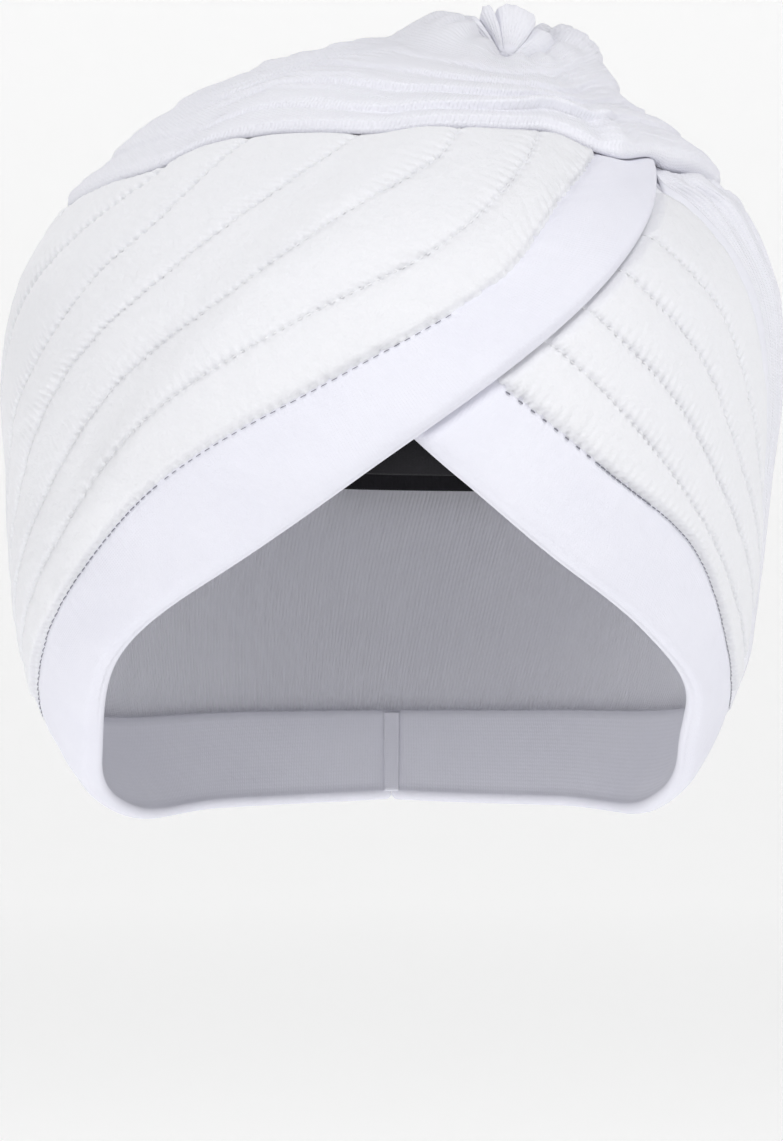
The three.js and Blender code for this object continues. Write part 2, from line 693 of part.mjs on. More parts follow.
function underBand() {
  const face = [];
  const inside = [];
  for (const azimuth of steps(44, -180, 180).slice(0, -1)) {
    const tilt = BAND_FRONT.tilt * Math.sin(radians(azimuth));
    const levels = [0, 0.5, 1].map((v) => mix(BAND_FRONT.lower, BAND_FRONT.upper, v) + tilt);
    face.push(levels.map((elevation) => place([azimuth, elevation], BAND.face)));
    inside.push(levels.map((elevation) => place([azimuth, elevation], BAND.inside)));
  }
  return new Body().wall(face, inside, true).mesh("under_band", BLACK_JERSEY);
}

// Materials

const QUILT_CLOTH = new THREE.MeshStandardMaterial({ color: 0xeaebf0, roughness: 0.95, metalness: 0 });
const JERSEY = new THREE.MeshStandardMaterial({ color: 0xececf8, roughness: 0.85, metalness: 0 });
const BLACK_JERSEY = new THREE.MeshStandardMaterial({ color: 0x29272c, roughness: 0.85, metalness: 0 });

// The assembly

const pagri = new THREE.Group();
pagri.add(quilt(RIGHT_LINES, 26, 8, 0, "quilt_right"));
pagri.add(quilt(LEFT_LINES, 24, 6, 0, "quilt_left"));
pagri.add(hem(RIGHT_HEM, 44, "hem_right"));
pagri.add(hem(LEFT_HEM, 40, "hem_left"));
pagri.add(wrap());
pagri.add(backDrape());
pagri.add(knot());
pagri.add(underBand());

export default pagri;
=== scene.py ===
"""Looks of a ready-tied pagri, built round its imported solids.

Lengths in the tables are millimetres and angles are degrees, unless a comment says otherwise. Every
surface is a distance outside one base form, along a direction (azimuth, elevation) from the head
centre: azimuth 0 is the front and 90 the wearer's left. The made meshes are in metres, in the frame
of the solids. Bearings about the knot are 0 towards the wearer's left and 90 towards the back.
"""

import math
from types import SimpleNamespace as Sizes

import bpy
import numpy as np
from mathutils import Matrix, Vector


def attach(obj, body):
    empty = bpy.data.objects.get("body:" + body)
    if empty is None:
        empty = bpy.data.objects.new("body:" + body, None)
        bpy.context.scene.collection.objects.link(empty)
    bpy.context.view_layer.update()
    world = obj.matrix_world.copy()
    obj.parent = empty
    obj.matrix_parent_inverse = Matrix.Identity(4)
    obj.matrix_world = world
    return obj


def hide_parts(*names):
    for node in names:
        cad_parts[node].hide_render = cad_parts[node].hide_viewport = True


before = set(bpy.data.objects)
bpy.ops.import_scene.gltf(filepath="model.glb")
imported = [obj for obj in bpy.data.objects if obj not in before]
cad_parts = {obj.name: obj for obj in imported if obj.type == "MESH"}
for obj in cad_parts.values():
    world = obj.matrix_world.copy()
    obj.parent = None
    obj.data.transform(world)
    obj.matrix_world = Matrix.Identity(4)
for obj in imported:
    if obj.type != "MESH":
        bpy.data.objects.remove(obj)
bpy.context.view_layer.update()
MM = 0.001
FINE = 1.0

# Base form and layers

HEAD_CENTRE = np.array([0.0, 4.0, -78.0])
# elevation, radius to the wearer's right, left, front and back
PROFILE = np.array([
    (-60, 130, 128.5, 118, 134), (-45, 120.5, 117, 111, 119.5), (-30, 107.5, 103.8, 106, 112),
    (-15, 97.8, 95.6, 104, 107), (0, 95.7, 94.5, 104, 102.5), (15, 94.8, 95.5, 103, 97.5),
    (30, 90.3, 90.5, 98.5, 92), (45, 85, 85, 92, 86), (60, 81.5, 81.5, 86.5, 82),
    (75, 80.5, 80.5, 82.5, 80.5), (90, 80.5, 80.5, 80.5, 80.5),
], float)

QUILT = Sizes(inside=-6.2, crest=-0.25, stitch=-0.85, pressed=-3.4)
HEM = Sizes(inside=-6.0, face=-1.2, edge=-3.6, tucked=-2.9)
DRAPE = Sizes(inside=-2.7, face=-1.4, fold=3.0)
BAND = Sizes(inside=-8.4, face=-7.2)
WRAP_WALL = 2.2
LAP = 3.3  # how far the right panel rises where it crosses the left one
GROUND = -1.0  # where lengths along the cloth are measured

# Stitched lines, a row per line, as azimuth and elevation at the stations top, brow, front,
# temple, cheek, ear and side seam
RIGHT_LINES = np.array([
    ((41, 36.5), (24.5, 22.7), (13, 10.6), (-6.4, -0.7), (-30, -12.7), (-58.6, -29.9), (-88, -43.5)),
    ((30, 42), (20.5, 28.6), (6.4, 15.3), (-11.6, 5.7), (-32, -5.5), (-60, -24.5), (-89, -40)),
    ((15, 42), (7.4, 29.3), (-7, 19.3), (-20.6, 9.8), (-38, -0.5), (-62.5, -18.5), (-90, -36.5)),
    ((1, 42), (-9.7, 31), (-20.4, 22.1), (-33.5, 11.9), (-47, 3), (-67, -12.5), (-91, -33)),
    ((-21, 42), (-29.5, 31), (-37.2, 20.4), (-46.5, 13.6), (-58.5, 3.5), (-74, -8.5), (-92, -29.5)),
    ((-36, 41), (-43.5, 30), (-50.5, 24.8), (-60, 18.2), (-70.6, 11), (-82, -2), (-93, -26)),
    ((-53, 41), (-60, 35), (-67.5, 31), (-76.5, 25.5), (-85.5, 16), (-92.5, 0.5), (-95, -22.5)),
    ((-73, 41), (-80, 39), (-88, 35.5), (-96, 30), (-101, 19), (-103, 2), (-98, -19)),
], float)
LEFT_LINES = np.array([
    ((-10, 12.5), (4, 4.5), (16.4, -3.5), (32.1, -13.7), (50.1, -23.1), (70, -37), (88, -43.8)),
    ((-3, 19), (10, 11), (22.5, 2.1), (36.9, -9.1), (53, -21.2), (71, -33), (88, -40.5)),
    ((4, 26), (17, 15.8), (29, 6.2), (42, -3.6), (57, -16.3), (73, -27.2), (88.5, -37)),
    ((13, 33), (25.5, 21.2), (35.3, 12), (47.2, 2.8), (60, -10.5), (75, -22), (89, -33.5)),
    ((24, 39), (34.5, 24.5), (43, 17.2), (54, 8.5), (64, -4.3), (77.5, -17.5), (89.5, -30)),
    ((36, 41), (46, 29.5), (55.5, 26.7), (64.6, 17.5), (71.5, 5.5), (80, -11), (90, -27)),
    ((40, 43), (50, 33.5), (58.5, 30.5), (68.5, 21), (75.5, 9), (84, -8), (93, -24)),
], float)

# Hems, a row per station: the seam and the free rim
RIGHT_HEM = np.array([
    ((44.5, 39), (57.5, 38)),
    ((34.5, 31), (50.4, 30.3)),
    ((24.5, 22.7), (40.6, 21.3)),
    ((13, 10.6), (22.5, 6)),
    ((-6.4, -0.7), (-0.2, -10.6)),
    ((-30, -12.7), (-21.5, -24.7)),
    ((-58.6, -29.9), (-49.5, -37.6)),
    ((-88, -43.5), (-69.5, -50.5)),
    ((-118, -46), (-104, -58.4)),
    ((-149, -46), (-142, -57.2)),
    ((-179.97, -46), (-179.97, -56)),
], float)
LEFT_HEM = np.array([
    ((-10, 12.5), (-17, 5.5)),
    ((4, 4.5), (-3.5, -3.2)),
    ((16.4, -3.5), (9.3, -14)),
    ((32.1, -13.7), (25, -25.3)),
    ((50.1, -23.1), (45, -35.2)),
    ((70, -37), (62.5, -42.8)),
    ((88, -43.8), (73, -51)),
    ((118, -46), (104, -58.4)),
    ((149, -46), (142, -57.2)),
    ((179.97, -46), (179.97, -56)),
], float)
# how far outside its edge each starts to press what is beneath it, and over what run, as angles
FLAP_PRESS, WRAP_PRESS, DRAPE_PRESS = (3.8, 3.4), (1.95, 1.75), (5, 3.6)
APEX = 4  # station of the right hem as far as which its rim runs in front of the left panel
# where the right panel starts to rise, as azimuth = at0 + slope * elevation
UNDER_END = Sizes(at0=-22, slope=0.95, clear=4, ramp=11, lowest=-26, full=-12)

# Lower edge of the wrap: azimuth, elevation, bearing about the knot
WRAP_EDGE = np.array([
    (20, 36.3, 270), (0, 36.1, 250), (-20, 37.4, 231), (-34, 36.6, 219), (-44, 32.8, 210),
    (-55, 31.5, 202), (-69, 29.8, 192), (-85, 29, 180), (-105, 31, 163), (-130, 34, 142),
    (-155, 36, 121), (-180, 37, 99), (-205, 37, 77), (-228, 35.5, 56), (-250, 33, 34),
    (-268, 32, 14), (-280, 32.5, -2), (-294, 34, -20), (-308, 34.4, -38), (-317, 32.8, -52),
    (-323.5, 33.2, -63), (-332, 36.6, -78), (-340, 36.3, -90),
], float)
# azimuth, how far outside the base form the wrap's inside lies at its edge, how much thicker than
# its wall the wrap is there, and up to what elevation both hold
WRAP_SEAT = np.array([
    (-180, -1, 0, 36), (-98, -1, 0, 36), (-86, -2.4, 0, 36), (-20, -2.9, 0, 36), (-7, -2.85, 0, 36),
    (0, -2.4, 0, 36), (4, -1, 0.2, 38), (9, 0, 0, 40), (20, 0.1, 0.2, 42), (29, 0.55, 0.2, 42),
    (50, 0.7, 0.4, 42), (54, 0.5, 0.6, 42), (58, -1.5, 2.5, 42), (63, -1.7, 2.7, 41),
    (84, -1.4, 2, 38), (112, -1, 0, 36), (180, -1, 0, 36),
], float)
TOP_SEAT = -0.4  # the same at the top
SEAT_RAMP = 14.0  # elevation over which the one goes over to the other
# Creases of the wrap: shares of the way from the collar to the edge at four bearings, and the
# height of the fold
CREASE_BEARINGS = (90, 205, 262, 318)
CREASES = [
    (0.22, 0.3, 0.34, 0.2, 0.9), (0.4, 0.5, 0.56, 0.38, 1.15), (0.58, 0.7, 0.73, 0.54, 1.3),
    (0.78, 0.87, 0.89, 0.74, 1.3), (1.0, 1.0, 1.0, 1.0, 1.1),
]

KNOT_CENTRE = (55.6, 67.1)  # azimuth, elevation
NOTCH = -98.0  # bearing at which the collar's ends meet
# bearing, reach of the crest, its rise, run of its shoulder
COLLAR = np.array([
    (-98, 15, 2, 14), (-60, 14, 5, 14), (-30, 12, 9, 20), (0, 11.5, 11, 20), (45, 13, 12, 14),
    (90, 15, 9, 20), (180, 14.5, 7.5, 14), (225, 14.5, 7.5, 14), (262, 15, 2, 14),
], float)
CREST_WIDTH = 1.6  # of the collar
# the hollow inside the collar: its floor in front and at the back as a share of the collar's rise,
# the run of its wall, and the small pleats that lead into the knot
HOLLOW = Sizes(front=0.08, back=0.55, run=4.6, pleats=17, pleat=0.75, pleat_run=9)
EDGE_SWAY = 1.7  # unevenness of the wrap's lower edge round the back, as an angle
# short upright fold of the wrap's edge over the corner of the flap
TUCK = Sizes(
    azimuth=41.6, elevation=36.2, slant=0.35, width=2.3, tall=4.6, height=1.9,
    side=3.9, hollow=0.8, hollow_width=1.5333,
)
TOP_RADIUS = 84.0  # turns lengths on the crown into angles
FULLNESS = Sizes(azimuth=88, elevation=42, height=2.6, spread=24)

# middle, half width and reach of each petal, and how much it leans
PETALS = [
    (11, 14, 9.4, 0), (39, 14, 16.2, 0.2), (77, 24, 14.6, 0.2), (114, 13, 12.1, 0.4),
    (151, 24, 10.4, 0),
]
PETAL_GROOVE = 0.27  # depth of the groove between petals, as a share of their reach
PETAL_SKEW = 0.16  # how much longer a petal is towards the wearer's left
PETAL_LEAN = 6.0
PETAL_PLEAT = Sizes(depth=0.6, pitch=14.0)  # pleats along a petal, the pitch as an angle
KNOT_LENGTH = (-10.2, 11.0)  # to the front and to the back of its middle
KNOT_END = 0.3  # how small the knot is at its two ends, as a share of its full size

# elevation, left edge, right edge of the back drape
DRAPE_EDGES = np.array([
    (-46, 87.5, -86.5), (-36, 86.5, -89.5), (-24, 84.5, -92.5), (-11, 80, -95), (5.5, 71.5, -96),
    (17.5, 64.6, -95.5), (25, 58.6, -96), (27.5, 54, -96.5), (30, 53.4, -97), (33, 56, -98),
    (36, 60, -99), (42, 64, -101),
], float)
DRAPE_FOLDS = 13
# small gathers just below the wrap, creases all over and pleats beside the two side edges
DRAPE_GATHERS = Sizes(count=38, height=1.3, run=11.0)
DRAPE_CREASES = Sizes(count=42.0, height=0.5)
DRAPE_PLEATS = Sizes(count=70.0, height=0.9, fade=14.0)
# fullness below the wrap's rolled end
DRAPE_BULGE = Sizes(azimuth=80, elevation=27, height=2.4, wide=24, tall=6)
DRAPE_CLEAR = 0.8  # how far below the wrap's edge the folds start, as an angle
DRAPE_OVERLAP = 0.35  # how far above the hem's seam the cloth ends, as an angle
# elevations of the lower and upper edges of the under band, and how far it tilts from side to side
BAND_FRONT = Sizes(lower=-14.2, upper=5, tilt=-1.3)

# Stitches

STITCH_PITCH = 2.45
QUILT_STITCH = {"length": 1.5, "thick": 0.23, "rise": 0.42, "sink": 0.12}
SEAM_STITCH = {"rise": 0.35, "sink": -0.15}
# Runs of stitches along the hem seams: from and to as stations of the hem, pitch, length, thickness
RIGHT_RUNS = [(3.3, 5.1, 2.7, 1.5, 0.1), (5.1, 8.2, 2.45, 1.75, 0.15), (8.2, 10, 2.45, 1.6, 0.14)]
LEFT_RUNS = [
    (1.85, 2.8, 3.7, 1.3, 0.2), (2.8, 3.45, 1.95, 1.7, 0.19), (3.45, 6.2, 1.7, 1.2, 0.13),
    (6.2, 9, 2.45, 1.6, 0.14),
]

# Arithmetic


def smooth(x):
    x = np.clip(x, 0, 1)
    return x * x * (3 - 2 * x)


def mix(a, b, share):
    return a + (b - a) * share


def bell(x, width):
    """1 at 0, falling on both sides, to about a third at the width."""
    return np.exp(-((x / width) ** 2))


def curve(xs, ys, x):
    """Smooth curve through (xs, ys), xs rising. More axes of ys come last in the result."""
    xs, ys, x = np.asarray(xs, float), np.asarray(ys, float), np.asarray(x, float)
    x = np.clip(x, xs[0], xs[-1])
    k = np.clip(np.searchsorted(xs, x, side="right") - 1, 0, len(xs) - 2)
    run = xs[k + 1] - xs[k]
    t = (x - xs[k]) / run
    extra = (slice(None),) * x.ndim + (None,) * (ys.ndim - 1)

    def slope(n):
        a, b = np.maximum(n - 1, 0), np.minimum(n + 1, len(xs) - 1)
        return (ys[b] - ys[a]) / (xs[b] - xs[a])[extra] * run[extra]

    t = t[extra]
    return (
        (2 * t**3 - 3 * t**2 + 1) * ys[k]
        + (t**3 - 2 * t**2 + t) * slope(k)
        + (3 * t**2 - 2 * t**3) * ys[k + 1]
        + (t**3 - t**2) * slope(k + 1)
    )


def hash_lattice(i, j, k, seed):
    """A fixed random number from 0 to 1 for each whole-number place."""
    h = (i * 374761393 + j * 668265263 + k * 2147483647 + seed * 1274126177) & 0xFFFFFFFF
    h = ((h ^ (h >> 13)) * 1103515245) & 0xFFFFFFFF
    h = ((h ^ (h >> 16)) * 2654435761) & 0xFFFFFFFF
    return ((h ^ (h >> 15)) & 0xFFFFFF) / float(0xFFFFFF)


def noise(x, y, z=0.0, seed=1):
    """Smooth noise from -1 to 1 with features about 1 wide."""
    x, y, z = np.broadcast_arrays(*(np.asarray(a, float) for a in (x, y, z)))
    i, j, k = (np.floor(a).astype(np.int64) for a in (x, y, z))
    u, v, w = smooth(x - i), smooth(y - j), smooth(z - k)
    total = np.zeros(x.shape)
    for a in (0, 1):
        for b in (0, 1):
            for c in (0, 1):
                weight = (u if a else 1 - u) * (v if b else 1 - v) * (w if c else 1 - w)
                total += weight * hash_lattice(i + a, j + b, k + c, seed)
    return 2 * total - 1


def ridges(x, y, z=0.0, seed=1):
    """Noise folded into soft ridges, from 0 in the hollows to 1 on the ridges."""
    n = 0.65 * noise(x, y, z, seed) + 0.35 * noise(2.1 * x, 2.1 * y, 2.1 * z, seed + 7)
    return 1 - np.minimum(np.abs(n) * 2.2, 1)


# Directions and places


def unit(az, el):
    """Direction at an azimuth and an elevation."""
    az, el = np.radians(az), np.radians(el)
    return np.stack(np.broadcast_arrays(
        np.sin(az) * np.cos(el), -np.cos(az) * np.cos(el), np.sin(el)), -1)


def angles(direction):
    return (
        np.degrees(np.arctan2(direction[..., 0], -direction[..., 1])),
        np.degrees(np.arcsin(np.clip(direction[..., 2], -1, 1))),
    )


def radius(az, el):
    """Distance of the base form from the head centre."""
    across, ahead = np.sin(np.radians(az)), np.cos(np.radians(az))
    rows = curve(PROFILE[:, 0], PROFILE[:, 1:], el)
    side = np.where(across < 0, rows[..., 0], rows[..., 1])
    end = np.where(ahead < 0, rows[..., 3], rows[..., 2])
    return 1 / np.hypot(ahead / end, across / side)


def place(az, el, outside):
    return HEAD_CENTRE + unit(az, el) * (radius(az, el) + outside)[..., None]


def edge_sway(az):
    """Rise and fall of the wrap's lower edge round the back, in degrees."""
    turn = np.radians(az)
    back = smooth((0.1 - np.cos(turn)) / 0.7)
    return EDGE_SWAY * back * noise(3.2 * np.cos(turn), 3.2 * np.sin(turn), seed=38)


def wrap_edge(az):
    turned = np.where(az > WRAP_EDGE[0, 0], az - 360, az)
    order = WRAP_EDGE[::-1]
    return curve(order[:, 0], order[:, 1], turned) + edge_sway(az)


def lift(az, el, is_over):
    """How far the panel that is over the other one rises to clear it."""
    past = az - (UNDER_END.at0 + UNDER_END.slope * el)
    across = smooth((past + UNDER_END.clear + UNDER_END.ramp) / UNDER_END.ramp)
    up = smooth((el - UNDER_END.lowest) / (UNDER_END.full - UNDER_END.lowest))
    return LAP * across * up * is_over


FLAP_RIM = curve(np.arange(len(RIGHT_HEM)), RIGHT_HEM[:, 1], np.linspace(0, APEX + 1, 60))
FLAP_RIM = FLAP_RIM[np.argsort(FLAP_RIM[:, 1])]


def pressed_by_flap(az, el):
    """Share to which a layer is pressed flat, from 0 in the open to 1 under the flap."""
    past_rim = az - np.interp(el, FLAP_RIM[:, 1], FLAP_RIM[:, 0])
    return smooth((FLAP_PRESS[0] - past_rim) / FLAP_PRESS[1])


def pressed_by_wrap(az, el):
    return smooth((el - wrap_edge(az) + WRAP_PRESS[0]) / WRAP_PRESS[1])


def pressed_by_drape(az, el):
    edges = curve(DRAPE_EDGES[:, 0], DRAPE_EDGES[:, 1:], el)
    past_edge = np.maximum(az - edges[..., 0], edges[..., 1] - az)
    return smooth((past_edge + DRAPE_PRESS[0]) / DRAPE_PRESS[1])


def lengths(points, axis):
    """Distance run along one axis of a grid of points, from 0."""
    steps = np.linalg.norm(np.diff(points, axis=axis), axis=-1)
    start = np.zeros_like(np.take(steps, [0], axis=axis))
    return np.concatenate([start, np.cumsum(steps, axis=axis)], axis=axis)


def even_places(points, spacing, samples):
    """Places, counted in points, that lie evenly along the curve through the points."""
    numbers = np.arange(len(points))
    fine = np.linspace(0, numbers[-1], samples)
    path = curve(numbers, points, fine)
    run = lengths(place(path[:, 0], path[:, 1], 0), 0)
    return np.interp(np.linspace(0, run[-1], int(run[-1] / spacing) + 1), run, fine)


# Meshes


def signed_volume(points, faces):
    a, b, c = (points[faces[:, n]] for n in range(3))
    return np.einsum("ij,ij->", a, np.cross(b, c))


def add_mesh(name, points, faces, material, corner_uv=None):
    """A smooth mesh from points in mm and faces, with a map in mm for each corner of each face."""
    mesh = bpy.data.meshes.new(name)
    mesh.from_pydata((points * MM).tolist(), [], faces)
    mesh.polygons.foreach_set("use_smooth", np.ones(len(mesh.polygons), bool))
    if corner_uv is not None:
        layer = mesh.uv_layers.new(name="cloth")
        layer.data.foreach_set("uv", (corner_uv * MM).ravel())
    mesh.materials.append(material)
    mesh.update()
    made = bpy.data.objects.new(name, mesh)
    bpy.context.scene.collection.objects.link(made)
    return made


def grid_faces(rows, columns, close_rows=False, close_columns=False):
    r = np.arange(rows if close_rows else rows - 1)
    c = np.arange(columns if close_columns else columns - 1)
    r, c = np.meshgrid(r, c, indexing="ij")
    r1, c1 = (r + 1) % rows, (c + 1) % columns
    corners = [r * columns + c, r1 * columns + c, r1 * columns + c1, r * columns + c1]
    return np.stack(corners, -1).reshape(-1, 4)


def loft(name, loops, uv, material, ring=False, is_open=False):
    """A closed body whose cross-sections are loops of points.

    It is capped at both ends, or its last loop meets its first one in a ring. is_open leaves out
    the faces between the ends of the loops, and a fan at either end closes it instead. The map has
    the shape of the loops, with one row more for a ring.
    """
    rows, columns = loops.shape[:2]
    points = loops.reshape(-1, 3)
    faces = grid_faces(rows, columns, close_rows=ring, close_columns=not is_open)
    map_faces = grid_faces(uv.shape[0], columns, close_columns=not is_open)
    flat_uv = uv.reshape(-1, 2)
    if is_open:
        rims = [np.arange(rows)[::-1] * columns, np.arange(rows) * columns + columns - 1]
    else:
        last = (rows - 1) * columns + np.arange(columns)
        rims = [] if ring else [np.arange(columns), last[::-1]]
    fans = []
    for n, rim in enumerate(rims):
        points = np.vstack([points, points[rim].mean(0)])
        fans.append(np.stack([np.full(len(rim), len(points) - 1), rim, np.roll(rim, -1)], -1))
    fans = np.vstack(fans) if fans else np.empty((0, 3), int)
    fan_uv = np.repeat(flat_uv[np.minimum(fans[:, 1:2], len(flat_uv) - 1)], 3, axis=1)
    corner_uv = np.vstack([flat_uv[map_faces].reshape(-1, 2), fan_uv.reshape(-1, 2)])
    if signed_volume(points, np.vstack([faces[:, :3], faces[:, [0, 2, 3]], fans])) < 0:
        corner_uv = np.vstack([
            flat_uv[map_faces[:, ::-1]].reshape(-1, 2), fan_uv[:, ::-1].reshape(-1, 2)])
        faces, fans = faces[:, ::-1], fans[:, ::-1]
    return add_mesh(name, points, faces.tolist() + fans.tolist(), material, corner_uv)


ROUND = 7  # points round a cloth edge
EDGE_BULGE = 1.3  # how far a cloth edge stands out at most


def rounded(start, before, end, count=ROUND, bulge_limit=EDGE_BULGE):
    """Rows of points round a cloth edge, from start, which is reached from before, to end."""
    outward = start - before
    chord = end - start
    half = np.linalg.norm(chord, axis=-1, keepdims=True) / 2
    chord_unit = chord / (2 * half)
    outward = outward - chord_unit * np.sum(outward * chord_unit, -1, keepdims=True)
    outward = outward / np.maximum(np.linalg.norm(outward, axis=-1, keepdims=True), 1e-6)
    bulge = np.minimum(half, bulge_limit)
    turns = np.linspace(0, math.pi, count + 2)[1:-1]
    points = [start + chord * (1 - math.cos(a)) / 2 + outward * bulge * math.sin(a) for a in turns]
    return np.stack(points, axis=1)


def round_rim(rim):
    """Distance run round a closed rim, a row per point and one more where it closes."""
    return lengths(np.vstack([rim, rim[:1]]), 0)[:, None]


def cloth_map(u, v):
    """A map from its two axes, each constant along the other one."""
    return np.stack(np.broadcast_arrays(u, v), -1)


def joined(outer, inner, count=ROUND):
    """Loops over an outer sheet, round its edge, back over an inner one and round again."""
    return np.concatenate([
        outer, rounded(outer[:, -1], outer[:, -2], inner[:, 0], count),
        inner, rounded(inner[:, -1], inner[:, -2], outer[:, 0], count),
    ], axis=1)


# Threads

THREAD_SIDES = 6
# place along a stitch from -1 to 1, and the thread's radius there as a share of its full radius
THREAD_SHAPE = np.array([(-1, 0.45), (-0.72, 0.9), (0, 1.0), (0.72, 0.9), (1, 0.45)])


def stitches(path, pitch, length, thick, rise, sink, first=0.0, last=1.0):
    """Points and faces of the stitches along a path, between two shares of its length.

    A stitch bows outwards by rise from where its ends go in, sink below the path.
    """
    run = lengths(path, 0)
    middles = np.arange(first * run[-1] + pitch / 2, last * run[-1] - pitch / 2, pitch)
    along = THREAD_SHAPE[:, 0] * length / 2
    at = middles[:, None] + along[None]
    spine = np.stack([np.interp(at, run, path[:, k]) for k in range(3)], -1)
    outward = spine - HEAD_CENTRE
    outward /= np.linalg.norm(outward, axis=-1, keepdims=True)
    tangent = np.gradient(spine, axis=1)
    tangent /= np.linalg.norm(tangent, axis=-1, keepdims=True)
    side = np.cross(tangent, outward)
    bow = rise * np.cos(THREAD_SHAPE[:, 0] * math.pi / 2) - sink
    spine = spine + outward * bow[None, :, None]
    turn = np.linspace(0, 2 * math.pi, THREAD_SIDES + 1)[:-1]
    thick = (thick * THREAD_SHAPE[:, 1])[None, :, None, None]
    across, up = (f(turn)[None, None, :, None] * thick for f in (np.cos, np.sin))
    rings = spine[:, :, None] + side[:, :, None] * across + outward[:, :, None] * up
    count, stops = rings.shape[:2]
    one = grid_faces(stops, THREAD_SIDES, close_columns=True)
    starts = np.arange(count)[:, None, None] * stops * THREAD_SIDES
    body = (one[None] + starts).reshape(-1, 4)
    ends = np.arange(THREAD_SIDES)[None] + np.arange(count)[:, None] * stops * THREAD_SIDES
    caps = [ends.tolist(), (ends[:, ::-1] + (stops - 1) * THREAD_SIDES).tolist()]
    return rings.reshape(-1, 3), body.tolist() + caps[0] + caps[1]


def sew(name, runs, material):
    """One piece of thread from a list of runs of stitches."""
    points, faces, start = [], [], 0
    for run_points, run_faces in runs:
        points.append(run_points)
        faces += [[corner + start for corner in face] for face in run_faces]
        start += len(run_points)
    made = add_mesh(name, np.vstack(points), faces, material)
    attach(made, "root")


# Materials


class Shader:
    """A material whose nodes are made one after another."""

    def __init__(self, name):
        self.material = bpy.data.materials.new(name)
        self.material.use_nodes = True
        self.tree = self.material.node_tree
        self.surface = self.tree.nodes["Principled BSDF"]

    def node(self, kind, inputs=None, **settings):
        made = self.tree.nodes.new(kind)
        for key, value in settings.items():
            setattr(made, key, value)
        for key, value in (inputs or {}).items():
            if isinstance(value, bpy.types.NodeSocket):
                self.tree.links.new(value, made.inputs[key])
            else:
                made.inputs[key].default_value = value
        return made

    def math(self, operation, a, b=0.0, c=0.0):
        return self.node("ShaderNodeMath", {0: a, 1: b, 2: c}, operation=operation).outputs[0]

    def noise(self, scale, detail, roughness, vector):
        inputs = {"Scale": scale, "Detail": detail, "Roughness": roughness, "Vector": vector}
        return self.node("ShaderNodeTexNoise", inputs).outputs["Fac"]

    def place(self):
        return self.node("ShaderNodeTexCoord").outputs["Object"]

    def uv(self):
        cloth = self.node("ShaderNodeUVMap", uv_map="cloth").outputs[0]
        split = self.node("ShaderNodeSeparateXYZ", {0: cloth})
        return split.outputs[0], split.outputs[1]

    def bump(self, height, distance, strength, normal=None):
        inputs = {"Height": height, "Distance": distance, "Strength": strength}
        if normal:
            inputs["Normal"] = normal
        return self.node("ShaderNodeBump", inputs).outputs[0]

    def colour(self, dark, light, factor):
        """Colour from dark to light. The sockets are those of the RGBA form of the node."""
        inputs = {0: factor, 6: (*dark, 1), 7: (*light, 1)}
        made = self.node("ShaderNodeMix", inputs, data_type="RGBA")
        self.tree.links.new(made.outputs[2], self.surface.inputs["Base Color"])

    def set(self, values):
        for socket, value in values.items():
            self.surface.inputs[socket].default_value = value

    def finish(self, normal, roughness, sheen, sheen_roughness=0.5, specular=0.3):
        self.tree.links.new(normal, self.surface.inputs["Normal"])
        self.set({
            "Roughness": roughness, "Sheen Weight": sheen, "Sheen Roughness": sheen_roughness,
            "Specular IOR Level": specular,
        })
        return self.material


def quilt_cloth():
    s = Shader("brushed_quilting")
    where = s.place()
    fleece = s.noise(2400.0, 4.0, 0.65, where)
    clumps = s.noise(420.0, 3.0, 0.6, where)
    tone = s.noise(36.0, 3.0, 0.55, where)
    mixed = s.math("MULTIPLY_ADD", clumps, 0.5, s.math("MULTIPLY", tone, 0.5))
    s.colour((0.805, 0.81, 0.845), (0.87, 0.87, 0.9), mixed)
    normal = s.bump(clumps, 0.0006, 0.7)
    normal = s.bump(fleece, 0.00016, 0.5, normal)
    return s.finish(normal, 0.95, 0.25, 0.6, 0.2)


def jersey(name, dark, light, wale, course, depth, sheen=0.12):
    """Plain knit with wales across u and courses along v. All its lengths are in metres."""
    s = Shader(name)
    where = s.place()
    u, v = s.uv()
    column = s.math("MULTIPLY", u, 2 * math.pi / wale)
    crown = s.math("ABSOLUTE", s.math("SINE", s.math("MULTIPLY", column, 0.5)))
    slant = s.math("MULTIPLY", crown, 1.6)
    row = s.math("ADD", s.math("MULTIPLY", v, 2 * math.pi / course), slant)
    loop = s.math("MULTIPLY", s.math("SINE", row), 0.28)
    knit = s.math("ADD", crown, loop)
    tone = s.noise(40.0, 3.0, 0.55, where)
    soft = s.noise(300.0, 3.0, 0.6, where)
    fuzz = s.noise(2600.0, 3.0, 0.6, where)
    s.colour(dark, light, tone)
    normal = s.bump(soft, 0.0004, 0.3)
    normal = s.bump(knit, depth, 0.6, normal)
    normal = s.bump(fuzz, 0.00008, 0.4, normal)
    return s.finish(normal, 0.9, sheen, 0.5, 0.25)


def plain(name, colour, roughness):
    """Thread of one colour."""
    s = Shader(name)
    s.set({"Base Color": (*colour, 1)})
    fibre = s.bump(s.noise(1800.0, 2.0, 0.5, s.place()), 0.0001, 0.4)
    return s.finish(fibre, roughness, 0.1)


